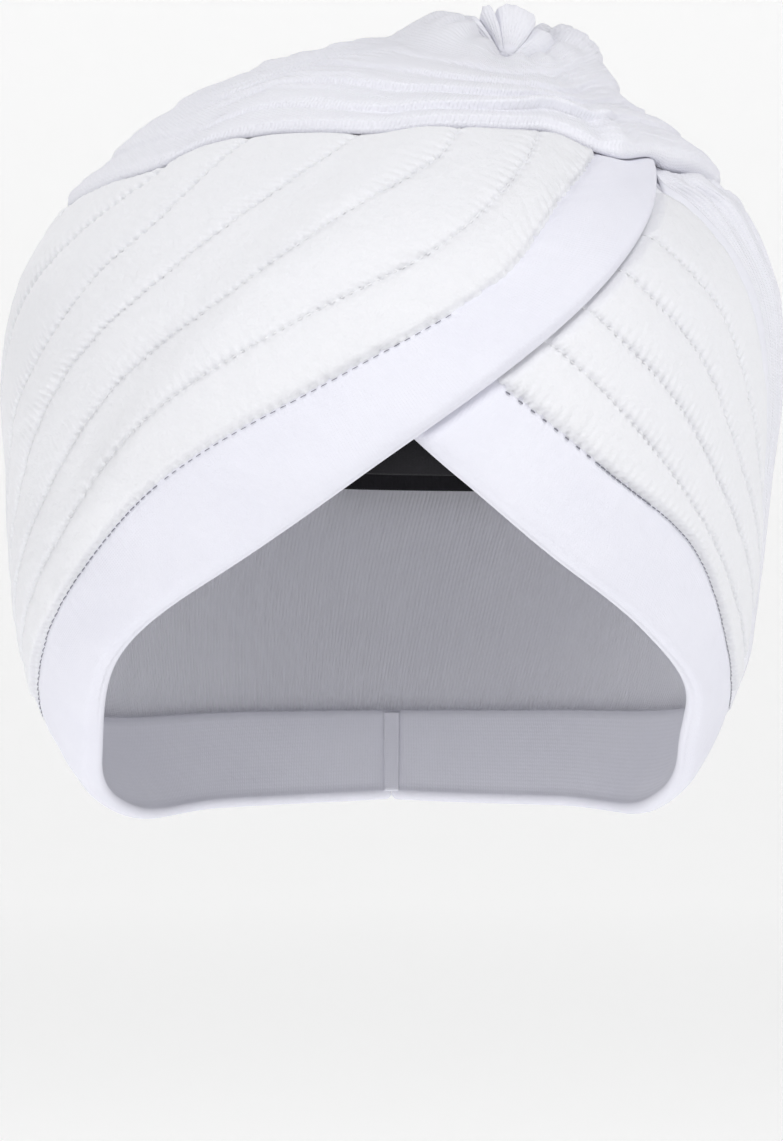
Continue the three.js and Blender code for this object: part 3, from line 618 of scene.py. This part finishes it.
QUILT_CLOTH = quilt_cloth()
WRAP_CLOTH = jersey(
    "wound_jersey", dark=(0.83, 0.83, 0.895), light=(0.885, 0.885, 0.94),
    wale=0.00105, course=0.0008, depth=0.0002)
HEM_CLOTH = jersey(
    "hem_jersey", dark=(0.78, 0.78, 0.865), light=(0.855, 0.855, 0.925),
    wale=0.0007, course=0.0006, depth=0.00005)
BLACK_CLOTH = jersey(
    "black_jersey", dark=(0.010, 0.010, 0.012), light=(0.02, 0.019, 0.023),
    wale=0.0007, course=0.0006, depth=0.0001, sheen=0.05)
# The seam stitches are real, but their dark grey is painted shade for the shadowed needle holes and
# gaps along the hem seams
SEAM_THREAD_PAINTED_SHADE = plain("seam_thread_painted_shade", (0.22, 0.22, 0.26), 0.8)
WHITE_THREAD = plain("quilting_thread", (0.86, 0.86, 0.88), 0.7)

# Quilted panels

CHANNEL_STEPS = int(22 / FINE)  # columns of the mesh from one stitched line to the next
LINE_DENSITY = 0.1  # how far those columns are drawn towards the lines
PANEL_STEP = 0.5  # from one row of the mesh to the next
# depth and width of the groove all along a line, and of the pull where each stitch goes in
LINE_GROOVE = (0.26, 0.8)
STITCH_PULL = (0.7, 0.75)
# swells from stitch to stitch above and below a line: height, reach and slant
SWELL = np.array([(0.46, 2.5, 0.5), (0.28, 1.3, -0.4)])
# height of the unevenness, and how long its waves are along and across the lines
QUILT_WAVES = [(0.24, 23.0, 14.0), (0.12, 5.5, 5.0)]
# creases off the lines, and puckers off the seam with the flap
TUCKS = Sizes(depth=0.3, reach=5.0, shape=(8.5, 0.08, 21.0))  # pitch, slant and length
GATHER = Sizes(depth=0.55, reach=9.0, shape=(4.2, 0.12, 17.0))
FLAP_SEAM = 3.4  # station at which they end


def quilt_height(t, along, across, stations, seed):
    """Height of open quilting on a grid, with t counted in stitched lines."""
    line = np.clip(np.round(t).astype(int), 0, len(t) // CHANNEL_STEPS)
    from_line = across - across[:, line * CHANNEL_STEPS]
    stitch = along[:, line * CHANNEL_STEPS] / STITCH_PITCH
    wobble = 0.22 * noise(stitch * 0.35, line[None] * 5.3, seed=seed)
    phase = 2 * math.pi * (stitch + wobble + 0.37 * line[None])
    strength = 0.8 + 0.5 * noise(along / 17.0, line[None] * 3.1, seed=seed + 1)
    by_flap = smooth((FLAP_SEAM - stations[:, None]) / 1.2)

    away = np.abs(2 * (t - np.floor(t)) - 1)
    depth = np.abs(from_line)
    height = mix(QUILT.stitch, QUILT.crest, 1 - away[None] ** 3.5)
    height = height - LINE_GROOVE[0] * strength * bell(depth, LINE_GROOVE[1])
    pull = ((1 + np.cos(phase)) / 2) ** 1.5
    height = height - STITCH_PULL[0] * bell(depth, STITCH_PULL[1]) * pull
    high, reach, slant = (np.where(from_line > 0, *sides) for sides in SWELL.T)
    swell = high * strength * (1 + 0.8 * ((line[None] == 0) * by_flap))
    swell = swell * np.cos(phase + slant * depth) * np.exp(-depth / reach)
    height = height - swell * smooth(depth / 0.5)
    for n, (size, long, wide) in enumerate(QUILT_WAVES):
        height = height + size * noise(along / long, across / wide, seed=seed + 2 + n)

    def creases(row, seed):
        pitch, slant, length = row.shape
        return ridges(along / pitch + slant * across, across / length, seed=seed)

    tucks = creases(TUCKS, seed + 4) ** 3
    height = height - TUCKS.depth * tucks * np.exp(-depth / TUCKS.reach)
    seam = np.exp(-across / GATHER.reach) * by_flap
    return height - GATHER.depth * seam * creases(GATHER, seed + 5) ** 2


def quilt_panel(name, lines, seed):
    """A panel from its stitched lines. It gives back the stitches of the inner ones."""
    is_over = name == "quilt_right"
    last = len(lines) - 1
    stations = even_places(lines[len(lines) // 2], PANEL_STEP * FINE, samples=400)
    at_station = curve(np.arange(lines.shape[1]), np.swapaxes(lines, 0, 1), stations)

    def directions(t):
        spots = curve(np.arange(len(lines)), np.swapaxes(at_station, 0, 1), t)
        return spots[..., 0].T, spots[..., 1].T

    t = np.linspace(0, last, CHANNEL_STEPS * last + 1)
    t = t - LINE_DENSITY * np.sin(2 * math.pi * t)
    az, el = directions(t)
    ground = place(az, el, GROUND)
    along, across = lengths(ground, 0), lengths(ground, 1)
    open_height = quilt_height(t, along, across, stations, seed)

    pressed = np.maximum(pressed_by_wrap(az, el), pressed_by_drape(az, el))
    if not is_over:
        pressed = np.maximum(pressed, pressed_by_flap(az, el))
    tucked = smooth((across[:, -1:] - across) / 4.0)
    height = mix(open_height, QUILT.pressed, np.maximum(pressed, 1 - tucked))
    height = height + lift(az, el, is_over)
    height = height - 0.6 * (1 - smooth(across / 1.5))
    outer = place(az, el, height)
    az, el = directions(np.linspace(last, 0, int(16 / FINE)))
    inner = place(az, el, QUILT.inside + lift(az, el, is_over))
    loops = joined(outer, inner)
    uv = np.zeros(loops.shape[:2] + (2,))
    uv[:, : len(t), 0] = across
    uv[:, : len(t), 1] = along
    panel = loft(name + "_cloth", loops, uv, QUILT_CLOTH)
    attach(panel, "root")
    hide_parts(name)
    paths = (outer[:, k * CHANNEL_STEPS] for k in range(1, last))
    return [stitches(path, STITCH_PITCH, **QUILT_STITCH) for path in paths]


# Hems

# share of the way from the seam to the rim, and how full the hem is there
HEM_FULL = np.array([
    (0, 0.42), (0.04, 0.72), (0.1, 0.92), (0.35, 1), (0.65, 1.05), (0.86, 0.98), (0.94, 0.72),
    (1, 0.12),
])
HEM_STEP = 0.8  # from one row of the mesh to the next
# height of the unevenness, length of its waves along the hem, their slant and number across it
HEM_WAVES = [(0.34, 34.0, 0, 1.6), (0.16, 9.0, 1.4, 2.3)]
FLAP_CREASE = Sizes(at=0.46, width=0.13, depth=0.55, until=4.4)
END_ROUND = 1.4  # run over which a hem's end is rounded at the centre back
# half width as an angle, the elevations it runs between, and its two faces
BACK_TAPE = Sizes(half=1.5238, upper=-46.4, lower=-56.2, face=-6.1, inside=-6.6)


def back_tape():
    """A narrow tape inside the hems, over their seam at the centre back."""
    el = np.linspace(BACK_TAPE.upper, BACK_TAPE.lower, int(30 / FINE))[:, None]
    across = np.linspace(-BACK_TAPE.half, BACK_TAPE.half, 9)[None]
    az, el = 180 + across + 0 * el, el + 0 * across
    outer = place(az, el, BACK_TAPE.face)
    inner = place(az[:, ::-1], el[:, ::-1], BACK_TAPE.inside)
    loops = np.concatenate([outer, inner], axis=1)
    uv = cloth_map(np.linspace(0, 14, loops.shape[1]), np.linspace(0, 25, len(loops))[:, None])
    made = loft("back_tape", loops, uv, HEM_CLOTH)
    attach(made, "root")


def hem(name, rows, runs, seed):
    """A hem from its rows. It gives back the runs of stitches along its seam."""
    is_over = name == "hem_right"
    stops = even_places(rows.mean(1), HEM_STEP * FINE, samples=900)
    ends = curve(np.arange(len(rows)), rows, stops)
    seam, rim = ends[:, 0], ends[:, 1]

    def directions(v):
        return [seam[:, n : n + 1] + (rim - seam)[:, n : n + 1] * v[None] for n in (0, 1)]

    v = np.linspace(0.012, 1, int(36 / FINE))
    az, el = directions(v)
    ground = place(az, el, GROUND)
    along, across = lengths(ground, 0), lengths(ground, 1)
    middle = along[:, len(v) // 2][:, None]
    height = mix(HEM.edge, HEM.face, curve(HEM_FULL[:, 0], HEM_FULL[:, 1], v))[None]
    body = smooth(v / 0.25) * smooth((1 - v) / 0.2)
    for n, (size, long, slant, count) in enumerate(HEM_WAVES):
        wave = noise(middle / long + v[None] * slant, v[None] * count, seed=seed + n)
        height = height + size * wave * body
    height = height + 0.12 * noise(middle / 12.0, 0.5, seed=seed + 2) * (1 - body)
    draw = ridges(middle / 5.0 + across / 30.0, across / 16.0, seed=seed + 3) ** 2
    height = height - 0.32 * draw * np.exp(-across / 7.0)
    if is_over:
        crease = bell(v - FLAP_CREASE.at, FLAP_CREASE.width)[None]
        until = smooth(FLAP_CREASE.until - stops)[:, None]
        height = height - FLAP_CREASE.depth * crease * until
    pressed = pressed_by_wrap(az, el)
    if not is_over:
        pressed = np.maximum(pressed, pressed_by_flap(az, el))
    flat = HEM.tucked if is_over else QUILT.pressed
    height = mix(height, np.minimum(height, flat), pressed)
    end = np.sqrt(1 - (1 - np.clip((along[-1] - along) / END_ROUND, 0, 1)) ** 2)
    height = mix(HEM.inside + 1.5, height, end)
    outer = place(az, el, height + lift(az, el, is_over))
    az, el = directions(np.linspace(0.97, 0.02, int(12 / FINE)))
    inner = place(az, el, HEM.inside + lift(az, el, is_over))
    loops = joined(outer, inner)
    uv = np.zeros(loops.shape[:2] + (2,))
    uv[..., 0] = middle
    uv[:, : len(v), 1] = across
    uv[:, len(v) :, 1] = np.linspace(30, 60, loops.shape[1] - len(v))[None]
    made = loft(name + "_cloth", loops, uv, HEM_CLOTH)
    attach(made, "root")
    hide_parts(name)
    path, numbers, sewn = outer[:, 1], np.arange(len(rows)), []
    run = lengths(path, 0)
    shares = np.interp(numbers, stops, run / run[-1])
    for start, stop, pitch, length, thick in runs:
        first, last = np.interp([start, stop], numbers, shares)
        sewn.append(stitches(path, pitch, length, thick, first=first, last=last, **SEAM_STITCH))
    return sewn


# Wrap

KNOT_AXIS = unit(*KNOT_CENTRE)
KNOT_EAST = np.array([1.0, 0, 0]) - KNOT_AXIS * KNOT_AXIS[0]
KNOT_EAST /= np.linalg.norm(KNOT_EAST)
KNOT_NORTH = np.cross(KNOT_AXIS, KNOT_EAST)


def from_knot(bearing, distance):
    """Direction at a bearing about the knot and a distance from its middle along the crown."""
    turn, angle = np.radians(bearing), distance / TOP_RADIUS
    side = KNOT_EAST * np.cos(turn)[..., None] + KNOT_NORTH * np.sin(turn)[..., None]
    return KNOT_AXIS * np.cos(angle)[..., None] + side * np.sin(angle)[..., None]


def collar(bearing):
    turn = (bearing - NOTCH) % 360 + NOTCH
    return np.moveaxis(curve(COLLAR[:, 0], COLLAR[:, 1:], turn), -1, 0)


def seat(az, el):
    """Height of the wrap's inside and the extra thickness of the wrap."""
    edge, extra, up_to = np.moveaxis(curve(WRAP_SEAT[:, 0], WRAP_SEAT[:, 1:], az), -1, 0)
    high = smooth((el - up_to) / SEAT_RAMP)
    return mix(edge, TOP_SEAT, high), mix(extra, 0, high)


def crease_shares(bearing):
    first = CREASE_BEARINGS[0]
    turn = (bearing - first) % 360 + first
    xs = [*CREASE_BEARINGS, first + 360]
    return [curve(xs, [*row[:4], row[0]], turn) for row in CREASES]


def fullness(direction):
    centre = unit(FULLNESS.azimuth, FULLNESS.elevation)
    off = np.degrees(np.arccos(np.clip(direction @ centre, -1, 1)))
    return FULLNESS.height * bell(off, FULLNESS.spread)


def tuck(direction):
    az, el = angles(direction)
    up = el - TUCK.elevation
    across = az - TUCK.azimuth - TUCK.slant * up
    ridge = TUCK.height * bell(across, TUCK.width)
    hollow = TUCK.hollow * bell(across + TUCK.side, TUCK.hollow_width)
    return (ridge - hollow) * bell(up, TUCK.tall)


def fold_profile(f):
    """Height of a fold from its foot, at 0, over its face to its rolled lip, at 1."""
    past = np.clip((f - (1 - FOLD.lip)) / FOLD.lip, 0, 1)
    rise = mix(FOLD.foot, 1, smooth(f / FOLD.face))
    return rise * mix(FOLD.foot, 1, np.sqrt(1 - past**2))


def winding_edge(count):
    """Azimuth, elevation and bearing at evenly spaced stations all round the wrap's edge."""
    whole = np.array([-360, 0, -360])
    table = np.vstack([WRAP_EDGE[-3:-1] - whole, WRAP_EDGE, WRAP_EDGE[1:3] + whole])
    last = len(WRAP_EDGE) - 1
    edge = curve(np.arange(len(table)) - 2, table, np.linspace(0, last, count + 1)[:-1])
    edge[:, 1] += edge_sway(edge[:, 0])
    return edge


LAPPED = Sizes(fold=3, bearing=-72, spread=26, more=0.9)  # where one fold laps over the last
FOLD = Sizes(foot=0.1, face=0.8, lip=0.12)  # shares of a fold's height and width
FINE_CREASES = 15  # small creases between the collar and the edge
CREST_AT = 0.82  # where a small crease is highest, as a share of its width
# bearing, height of the main folds, height of the small creases
FOLD_SHARES = np.array([
    (-90, 1.35, 0.22), (-40, 0.9, 0.42), (10, 0.85, 0.5), (60, 1.2, 0.6), (120, 1.25, 0.6),
    (170, 0.8, 0.55), (205, 0.5, 0.62), (235, 1.1, 0.4), (255, 1.35, 0.25), (270, 1.35, 0.22),
], float)


def wrap_folds(bearing, out, run):
    """Height of the folds of the wrap over its wall."""
    turn = np.radians(bearing)[:, None]
    x, y = 2.4 * np.cos(turn), 2.4 * np.sin(turn)
    main, small = np.moveaxis(curve(FOLD_SHARES[:, 0], FOLD_SHARES[:, 1:], bearing)[:, None], -1, 0)
    folds = previous = np.zeros_like(out)
    share = np.clip(out / run, 0, 1)
    for n, (row, at) in enumerate(zip(CREASES, crease_shares(bearing))):
        sway = 0.02 * noise(x * 1.2, y * 1.2, n * 3.7, seed=31) if row[0] < 1 else 0
        to = at[:, None] + sway + 0 * out
        here = (share >= previous) & (share <= to) & (out >= 0)
        f = np.clip((share - previous) / np.maximum(to - previous, 1e-6), 0, 1)
        size = row[-1] * (1 + 0.4 * noise(x * 1.6, y * 1.6, n * 2.9, seed=33))
        if n == LAPPED.fold:
            off = (bearing[:, None] - LAPPED.bearing + 180) % 360 - 180
            size = size * (1 + LAPPED.more * bell(off, LAPPED.spread))
        folds = np.where(here, size * main * fold_profile(f), folds)
        previous = to
    warp = 0.55 * noise(x * 0.8, y * 0.8, share * 1.6, seed=35)
    wander = 0.9 * noise(x * 2.2, y * 2.2, share * 3.0, seed=36)
    crest = (share * FINE_CREASES + warp * 2.2 + wander) % 1
    line = smooth(np.minimum(crest / CREST_AT, (1 - crest) / (1 - CREST_AT)))
    patch = smooth(0.55 + 0.8 * noise(x * 1.5, y * 1.5, share * 7.0, seed=37))
    mask = smooth(out / 5.0) * smooth((run - out) / 3.0)
    folds = folds + mask * small * patch * line
    folds = folds + mask * 0.3 * small * ridges(x * 2.6, y * 2.6, out / 2.3, seed=43) ** 2
    return folds + 0.4 * smooth(-out / 2.0) * noise(x * 2, y * 2, out / 4.0, seed=45)


INSIDE_RISE = 0.85  # share of the collar's rise that the wrap's inside follows
INSIDE_FULLNESS = 0.6  # share of the fullness that it follows
WRAP_ROLL = 2.4  # how far the wrap's edge is rolled out at most


def wrap():
    """The gathered cloth over the crown, with the collar and the hollow that the knot stands in."""
    edge = winding_edge(int(430 / FINE))
    bearing = edge[:, 2]
    start = from_knot(bearing, collar(bearing)[0])[:, None]
    end = unit(edge[:, 0], edge[:, 1])[:, None]
    angle = np.arccos(np.sum(start * end, -1, keepdims=True))
    run = angle[..., 0] * TOP_RADIUS
    reach, rise, shoulder = collar(bearing)[..., None]

    def shell(share):
        """Directions and runs at shares of the way out to the edge, or in to the knot below 0."""
        q = share[:, None]
        far = (start * np.sin((1 - q) * angle) + end * np.sin(q * angle)) / np.sin(angle)
        near = from_knot(bearing[:, None], (share + 1) * reach)
        return np.where(q < 0, near, far), share * np.where(share < 0, reach, run)

    directions, out = shell(np.concatenate([
        np.linspace(-0.97, -0.015, int(26 / FINE)), np.linspace(0, 1, int(150 / FINE))]))
    turn = np.radians(bearing)[:, None]
    floor = mix(HOLLOW.front, HOLLOW.back, smooth(np.sin(turn) + 0.35))
    hill = np.where(
        out < 0, mix(floor, 1, smooth(out / HOLLOW.run + 1)),
        1 - smooth((out - CREST_WIDTH) / shoulder))
    near_knot = smooth((out + reach - 2) / 5) * (1 - smooth((out - 1) / HOLLOW.pleat_run))
    drawn = 2.2 * noise(2 * np.cos(turn), 2 * np.sin(turn), out / 15, seed=47)
    pleats = HOLLOW.pleat * near_knot * np.cos(HOLLOW.pleats * turn + drawn)
    inside, extra = seat(*angles(directions))
    height = inside + extra + rise * hill + fullness(directions) + tuck(directions) + WRAP_WALL
    height = height + pleats + wrap_folds(bearing, out, run)
    outer = place(*angles(directions), height)

    directions, in_out = shell(np.concatenate([
        np.linspace(1, 0, int(26 / FINE)), np.linspace(-0.1, -0.96, int(9 / FINE))]))
    hill = np.where(in_out < 0, 0, 1 - smooth((in_out - CREST_WIDTH) / shoulder))
    thick = smooth(1 - in_out / run) * fullness(directions)
    height = seat(*angles(directions))[0] + INSIDE_RISE * rise * hill
    inner = place(*angles(directions), height + INSIDE_FULLNESS * thick)
    edge_round = rounded(outer[:, -1], outer[:, -2], inner[:, 0], bulge_limit=WRAP_ROLL)
    loops = np.concatenate([outer, edge_round, inner], axis=1)

    rows, columns = loops.shape[:2]
    uv = np.zeros((rows + 1, columns, 2))
    uv[..., 0] = round_rim(place(edge[:, 0], edge[:, 1], 0))
    uv[:rows, : out.shape[1], 1] = out
    uv[:rows, out.shape[1] :, 1] = run + np.arange(columns - out.shape[1])
    uv[rows, :, 1] = uv[0, :, 1]
    made = loft("wrap_cloth", loops, uv, WRAP_CLOTH, ring=True, is_open=True)
    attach(made, "root")
    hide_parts("wrap")


# Back drape


def hem_top(az):
    """Elevation of the top of the hem on the back of the head, at an azimuth from 0 to 360."""
    from_front = np.minimum(az, 360 - az)
    left, right = (
        curve(np.abs(rows[:, 0, 0]), rows[:, 0, 1], from_front)
        for rows in (LEFT_HEM[4:], RIGHT_HEM[5:]))
    return np.where(az < 180, left, right)


def back_drape():
    """The cloth of the back, from under the wrap down to the hem."""
    u = np.linspace(0, 1, int(300 / FINE))[:, None]
    v = np.linspace(0, 1, int(110 / FINE))[None]
    top, bottom = DRAPE_EDGES[-1, 0], DRAPE_EDGES[0, 0]
    level = mix(top, bottom, v) + 0 * u
    edges = curve(DRAPE_EDGES[:, 0], DRAPE_EDGES[:, 1:], level)
    az = mix(edges[..., 0], edges[..., 1] + 360, u)
    lip = wrap_edge(az)
    low = np.clip((lip - level) / (lip - bottom), 0, 1)
    el = level + low * (hem_top(az) + DRAPE_OVERLAP - bottom)
    ground = place(az, el, GROUND)
    along, across = lengths(ground, 1), lengths(ground, 0)

    drift = 0.3 * noise(u * 7.0, v * 1.8, seed=51) + 0.06 * noise(u * 20.0, v * 5.0, seed=52)
    wave = np.sin(math.pi * (u * DRAPE_FOLDS + drift * 3.0)) ** 2
    size = 0.75 + 0.45 * noise(u * 11.0, v * 1.4, seed=53)
    sway = 1.6 * noise(u * 13.0, v * 3.0, seed=56)
    gathers = np.sin(math.pi * (u * DRAPE_GATHERS.count + sway)) ** 2
    gathers = np.exp(-np.maximum(lip - el, 0) / DRAPE_GATHERS.run) * gathers
    creases = ridges(u * DRAPE_CREASES.count, v * 2.0, seed=55) ** 2
    edge = np.minimum(u, 1 - u)
    pleats = 0.5 + 0.5 * np.cos(2 * math.pi * edge * DRAPE_PLEATS.count)
    pleats = np.exp(-edge * DRAPE_PLEATS.fade) * pleats
    at_hem = 0.3 + 0.7 * smooth((1 - v) / 0.1)
    side = smooth(edge / 0.018)
    free = smooth((lip - DRAPE_CLEAR - el) / 2.6)
    fold = DRAPE.fold * wave * size + DRAPE_CREASES.height * creases
    fold = fold + DRAPE_PLEATS.height * pleats + DRAPE_GATHERS.height * gathers
    turn = np.where(az > 180, az - 360, az)
    bulge = bell(turn - DRAPE_BULGE.azimuth, DRAPE_BULGE.wide)
    bulge = bulge * bell(el - DRAPE_BULGE.elevation, DRAPE_BULGE.tall)
    bulge = DRAPE_BULGE.height * bulge * smooth((lip - DRAPE_CLEAR - el) / 2.2)
    outer = place(az, el, DRAPE.face + fold * free * at_hem * side + bulge * side)
    keep = slice(None, None, -4)
    inner = place(az[:, keep], el[:, keep], DRAPE.inside)
    edge_round = rounded(outer[:, -1], outer[:, -2], inner[:, 0])
    loops = np.concatenate([outer, edge_round, inner], axis=1)
    uv = np.zeros(loops.shape[:2] + (2,))
    uv[..., 0] = across[:, across.shape[1] // 2][:, None]
    uv[:, : along.shape[1], 1] = along
    made = loft("back_drape_cloth", loops, uv, WRAP_CLOTH)
    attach(made, "root")
    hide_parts("back_drape")


# Knot


def knot():
    """A bundle of petals round one length, each the nearest one at its angle."""
    n = np.linspace(-1, 1, int(90 / FINE))[:, None]
    angle = np.linspace(2, 178, int(200 / FINE))[None]
    middle, half, reach, grow = (np.array(column)[:, None, None] for column in zip(*PETALS))
    lean = PETAL_LEAN * noise(n * 1.3, 0.0, seed=61)
    off = (angle + lean * grow - middle) / half
    nearest = np.argmin(np.abs(off), axis=0)[None]
    off = np.clip(np.take_along_axis(off, nearest, 0)[0], -1, 1)
    full = reach.ravel()[nearest[0]]
    size = mix(KNOT_END, 1, 1 - n**2)
    lobe = np.sqrt(1 - 0.97 * np.abs(off) ** 4)
    length = full * (1 - PETAL_GROOVE + PETAL_GROOVE * lobe) * (1 - PETAL_SKEW * off) * size
    sway = 0.8 * noise(n * 2, 0.0, seed=64)
    pleats = ridges(angle / PETAL_PLEAT.pitch + sway, n * 1.1, seed=63)
    length = length + PETAL_PLEAT.depth * (pleats - 0.5) * size
    north = mix(*KNOT_LENGTH, (n + 1) / 2) + 0 * angle

    def foot(east, north):
        bearing = np.degrees(np.arctan2(north, east))
        az, el = angles(from_knot(bearing, np.hypot(east, north)))
        return place(az, el, seat(az, el)[0] + WRAP_WALL + 0.4)

    east, up = length * np.cos(np.radians(angle)), length * np.sin(np.radians(angle))
    outer = foot(east, north) + np.stack([0 * up, 0 * up, up], -1)
    flat = np.linspace(-0.98, 0.98, 8)[None]
    ends = np.abs(east[:, :1])
    inner = foot(flat * ends, north[:, :8] + 0 * flat)
    loops = np.concatenate([outer, inner], axis=1)
    uv = cloth_map(np.linspace(0, 40, loops.shape[1]), north[:, :1])
    made = loft("knot_cloth", loops, uv, WRAP_CLOTH)
    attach(made, "root")
    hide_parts("knot")


# Inner band


def under_band():
    """The plain band that shows where the hems part."""
    az = np.linspace(-180, 180, int(360 / FINE) + 1)[:-1, None]
    tilt = BAND_FRONT.tilt * np.sin(np.radians(az))
    v = np.linspace(0, 1, 16)[None]
    el = mix(BAND_FRONT.lower, BAND_FRONT.upper, v) + tilt
    az = az + 0 * el
    outer = place(az, el, BAND.face + 0.12 * noise(az / 9.0, v * 2, seed=71))
    inner = place(az[:, ::-3], el[:, ::-3], BAND.inside)
    loops = joined(outer, inner, count=4)
    uv = cloth_map(round_rim(outer[:, 0]), np.linspace(0, 70, loops.shape[1]))
    made = loft("under_band_cloth", loops, uv, BLACK_CLOTH, ring=True)
    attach(made, "root")
    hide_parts("under_band")


# Assembly

quilting = quilt_panel("quilt_right", RIGHT_LINES, seed=11)
quilting += quilt_panel("quilt_left", LEFT_LINES, seed=17)
seams = hem("hem_right", RIGHT_HEM, RIGHT_RUNS, seed=21)
seams += hem("hem_left", LEFT_HEM, LEFT_RUNS, seed=25)
back_tape()
wrap()
back_drape()
knot()
under_band()
sew("quilting_thread", quilting, WHITE_THREAD)
# thread whose dark grey is painted shade for the shadowed holes along the seams
sew("seam_thread_painted_shade", seams, SEAM_THREAD_PAINTED_SHADE)

# Stage

CAMERA_AT = (0.0, -1.290, -0.124)  # this and the other places of the stage are in metres
FOCAL_PIXELS = 5276.0
PHOTO_HEIGHT = 1141.0  # in pixels
SENSOR = 36.0  # in millimetres
BACKDROP = (-0.42, 3.4, 4.6, 2.6)  # height and flat radius of the floor, radius and top of the wall
PAPER_GLOW = 0.45
# name, place, what it points at, size, power
LIGHTS = [
    ("key", (0.5, -0.95, 1.3), (0, 0, -0.06), 0.6, 11.2),
    ("fill", (-1.2, -1.4, 0.25), (0, 0, -0.08), 0.9, 4.0),
    ("top", (-0.4, 0.7, 1.1), (0, 0, -0.05), 0.6, 4.5),
]
WORLD_STRENGTH = 0.22

camera = bpy.data.objects.new("camera", bpy.data.cameras.new("camera"))
camera.location = CAMERA_AT
camera.rotation_euler = (math.radians(90), 0, 0)
camera.data.lens = FOCAL_PIXELS / PHOTO_HEIGHT * SENSOR
camera.data.sensor_width = SENSOR
camera.data.sensor_fit = "AUTO"
camera.data.clip_start = 0.05
bpy.context.scene.collection.objects.link(camera)
bpy.context.scene.camera = camera


def backdrop():
    """A pale floor that curves up into a low wall all round."""
    floor, flat, wall, top = BACKDROP
    bend = wall - flat
    section = [(0.01, floor)]
    for a in np.linspace(0, math.pi / 2, 13):
        section.append((flat + bend * math.sin(a), floor + bend - bend * math.cos(a)))
    section.append((wall, top))
    about = np.linspace(0, 2 * math.pi, 97)[:-1]
    points = np.array([(r * math.sin(a), r * math.cos(a), z) for a in about for r, z in section])
    faces = grid_faces(len(about), len(section), close_rows=True)
    s = Shader("backdrop_paper")
    s.set({
        "Base Color": (0.75, 0.75, 0.75, 1), "Roughness": 0.9, "Specular IOR Level": 0.1,
        "Emission Color": (1, 1, 1, 1), "Emission Strength": PAPER_GLOW,
    })
    add_mesh("backdrop", points / MM, faces.tolist(), s.material)


backdrop()
for name, at, target, size, power in LIGHTS:
    light = bpy.data.objects.new(name, bpy.data.lights.new(name, "AREA"))
    light.data.shape = "RECTANGLE"
    light.data.size = light.data.size_y = size
    light.data.energy = power
    light.location = at
    light.rotation_euler = (Vector(target) - Vector(at)).to_track_quat("-Z", "Y").to_euler()
    bpy.context.scene.collection.objects.link(light)

world = bpy.data.worlds.new("studio")
world.use_nodes = True
background = world.node_tree.nodes["Background"]
background.inputs["Color"].default_value = (1, 1, 1, 1)
background.inputs["Strength"].default_value = WORLD_STRENGTH
bpy.context.scene.world = world
bpy.context.scene.view_settings.view_transform = "Standard"
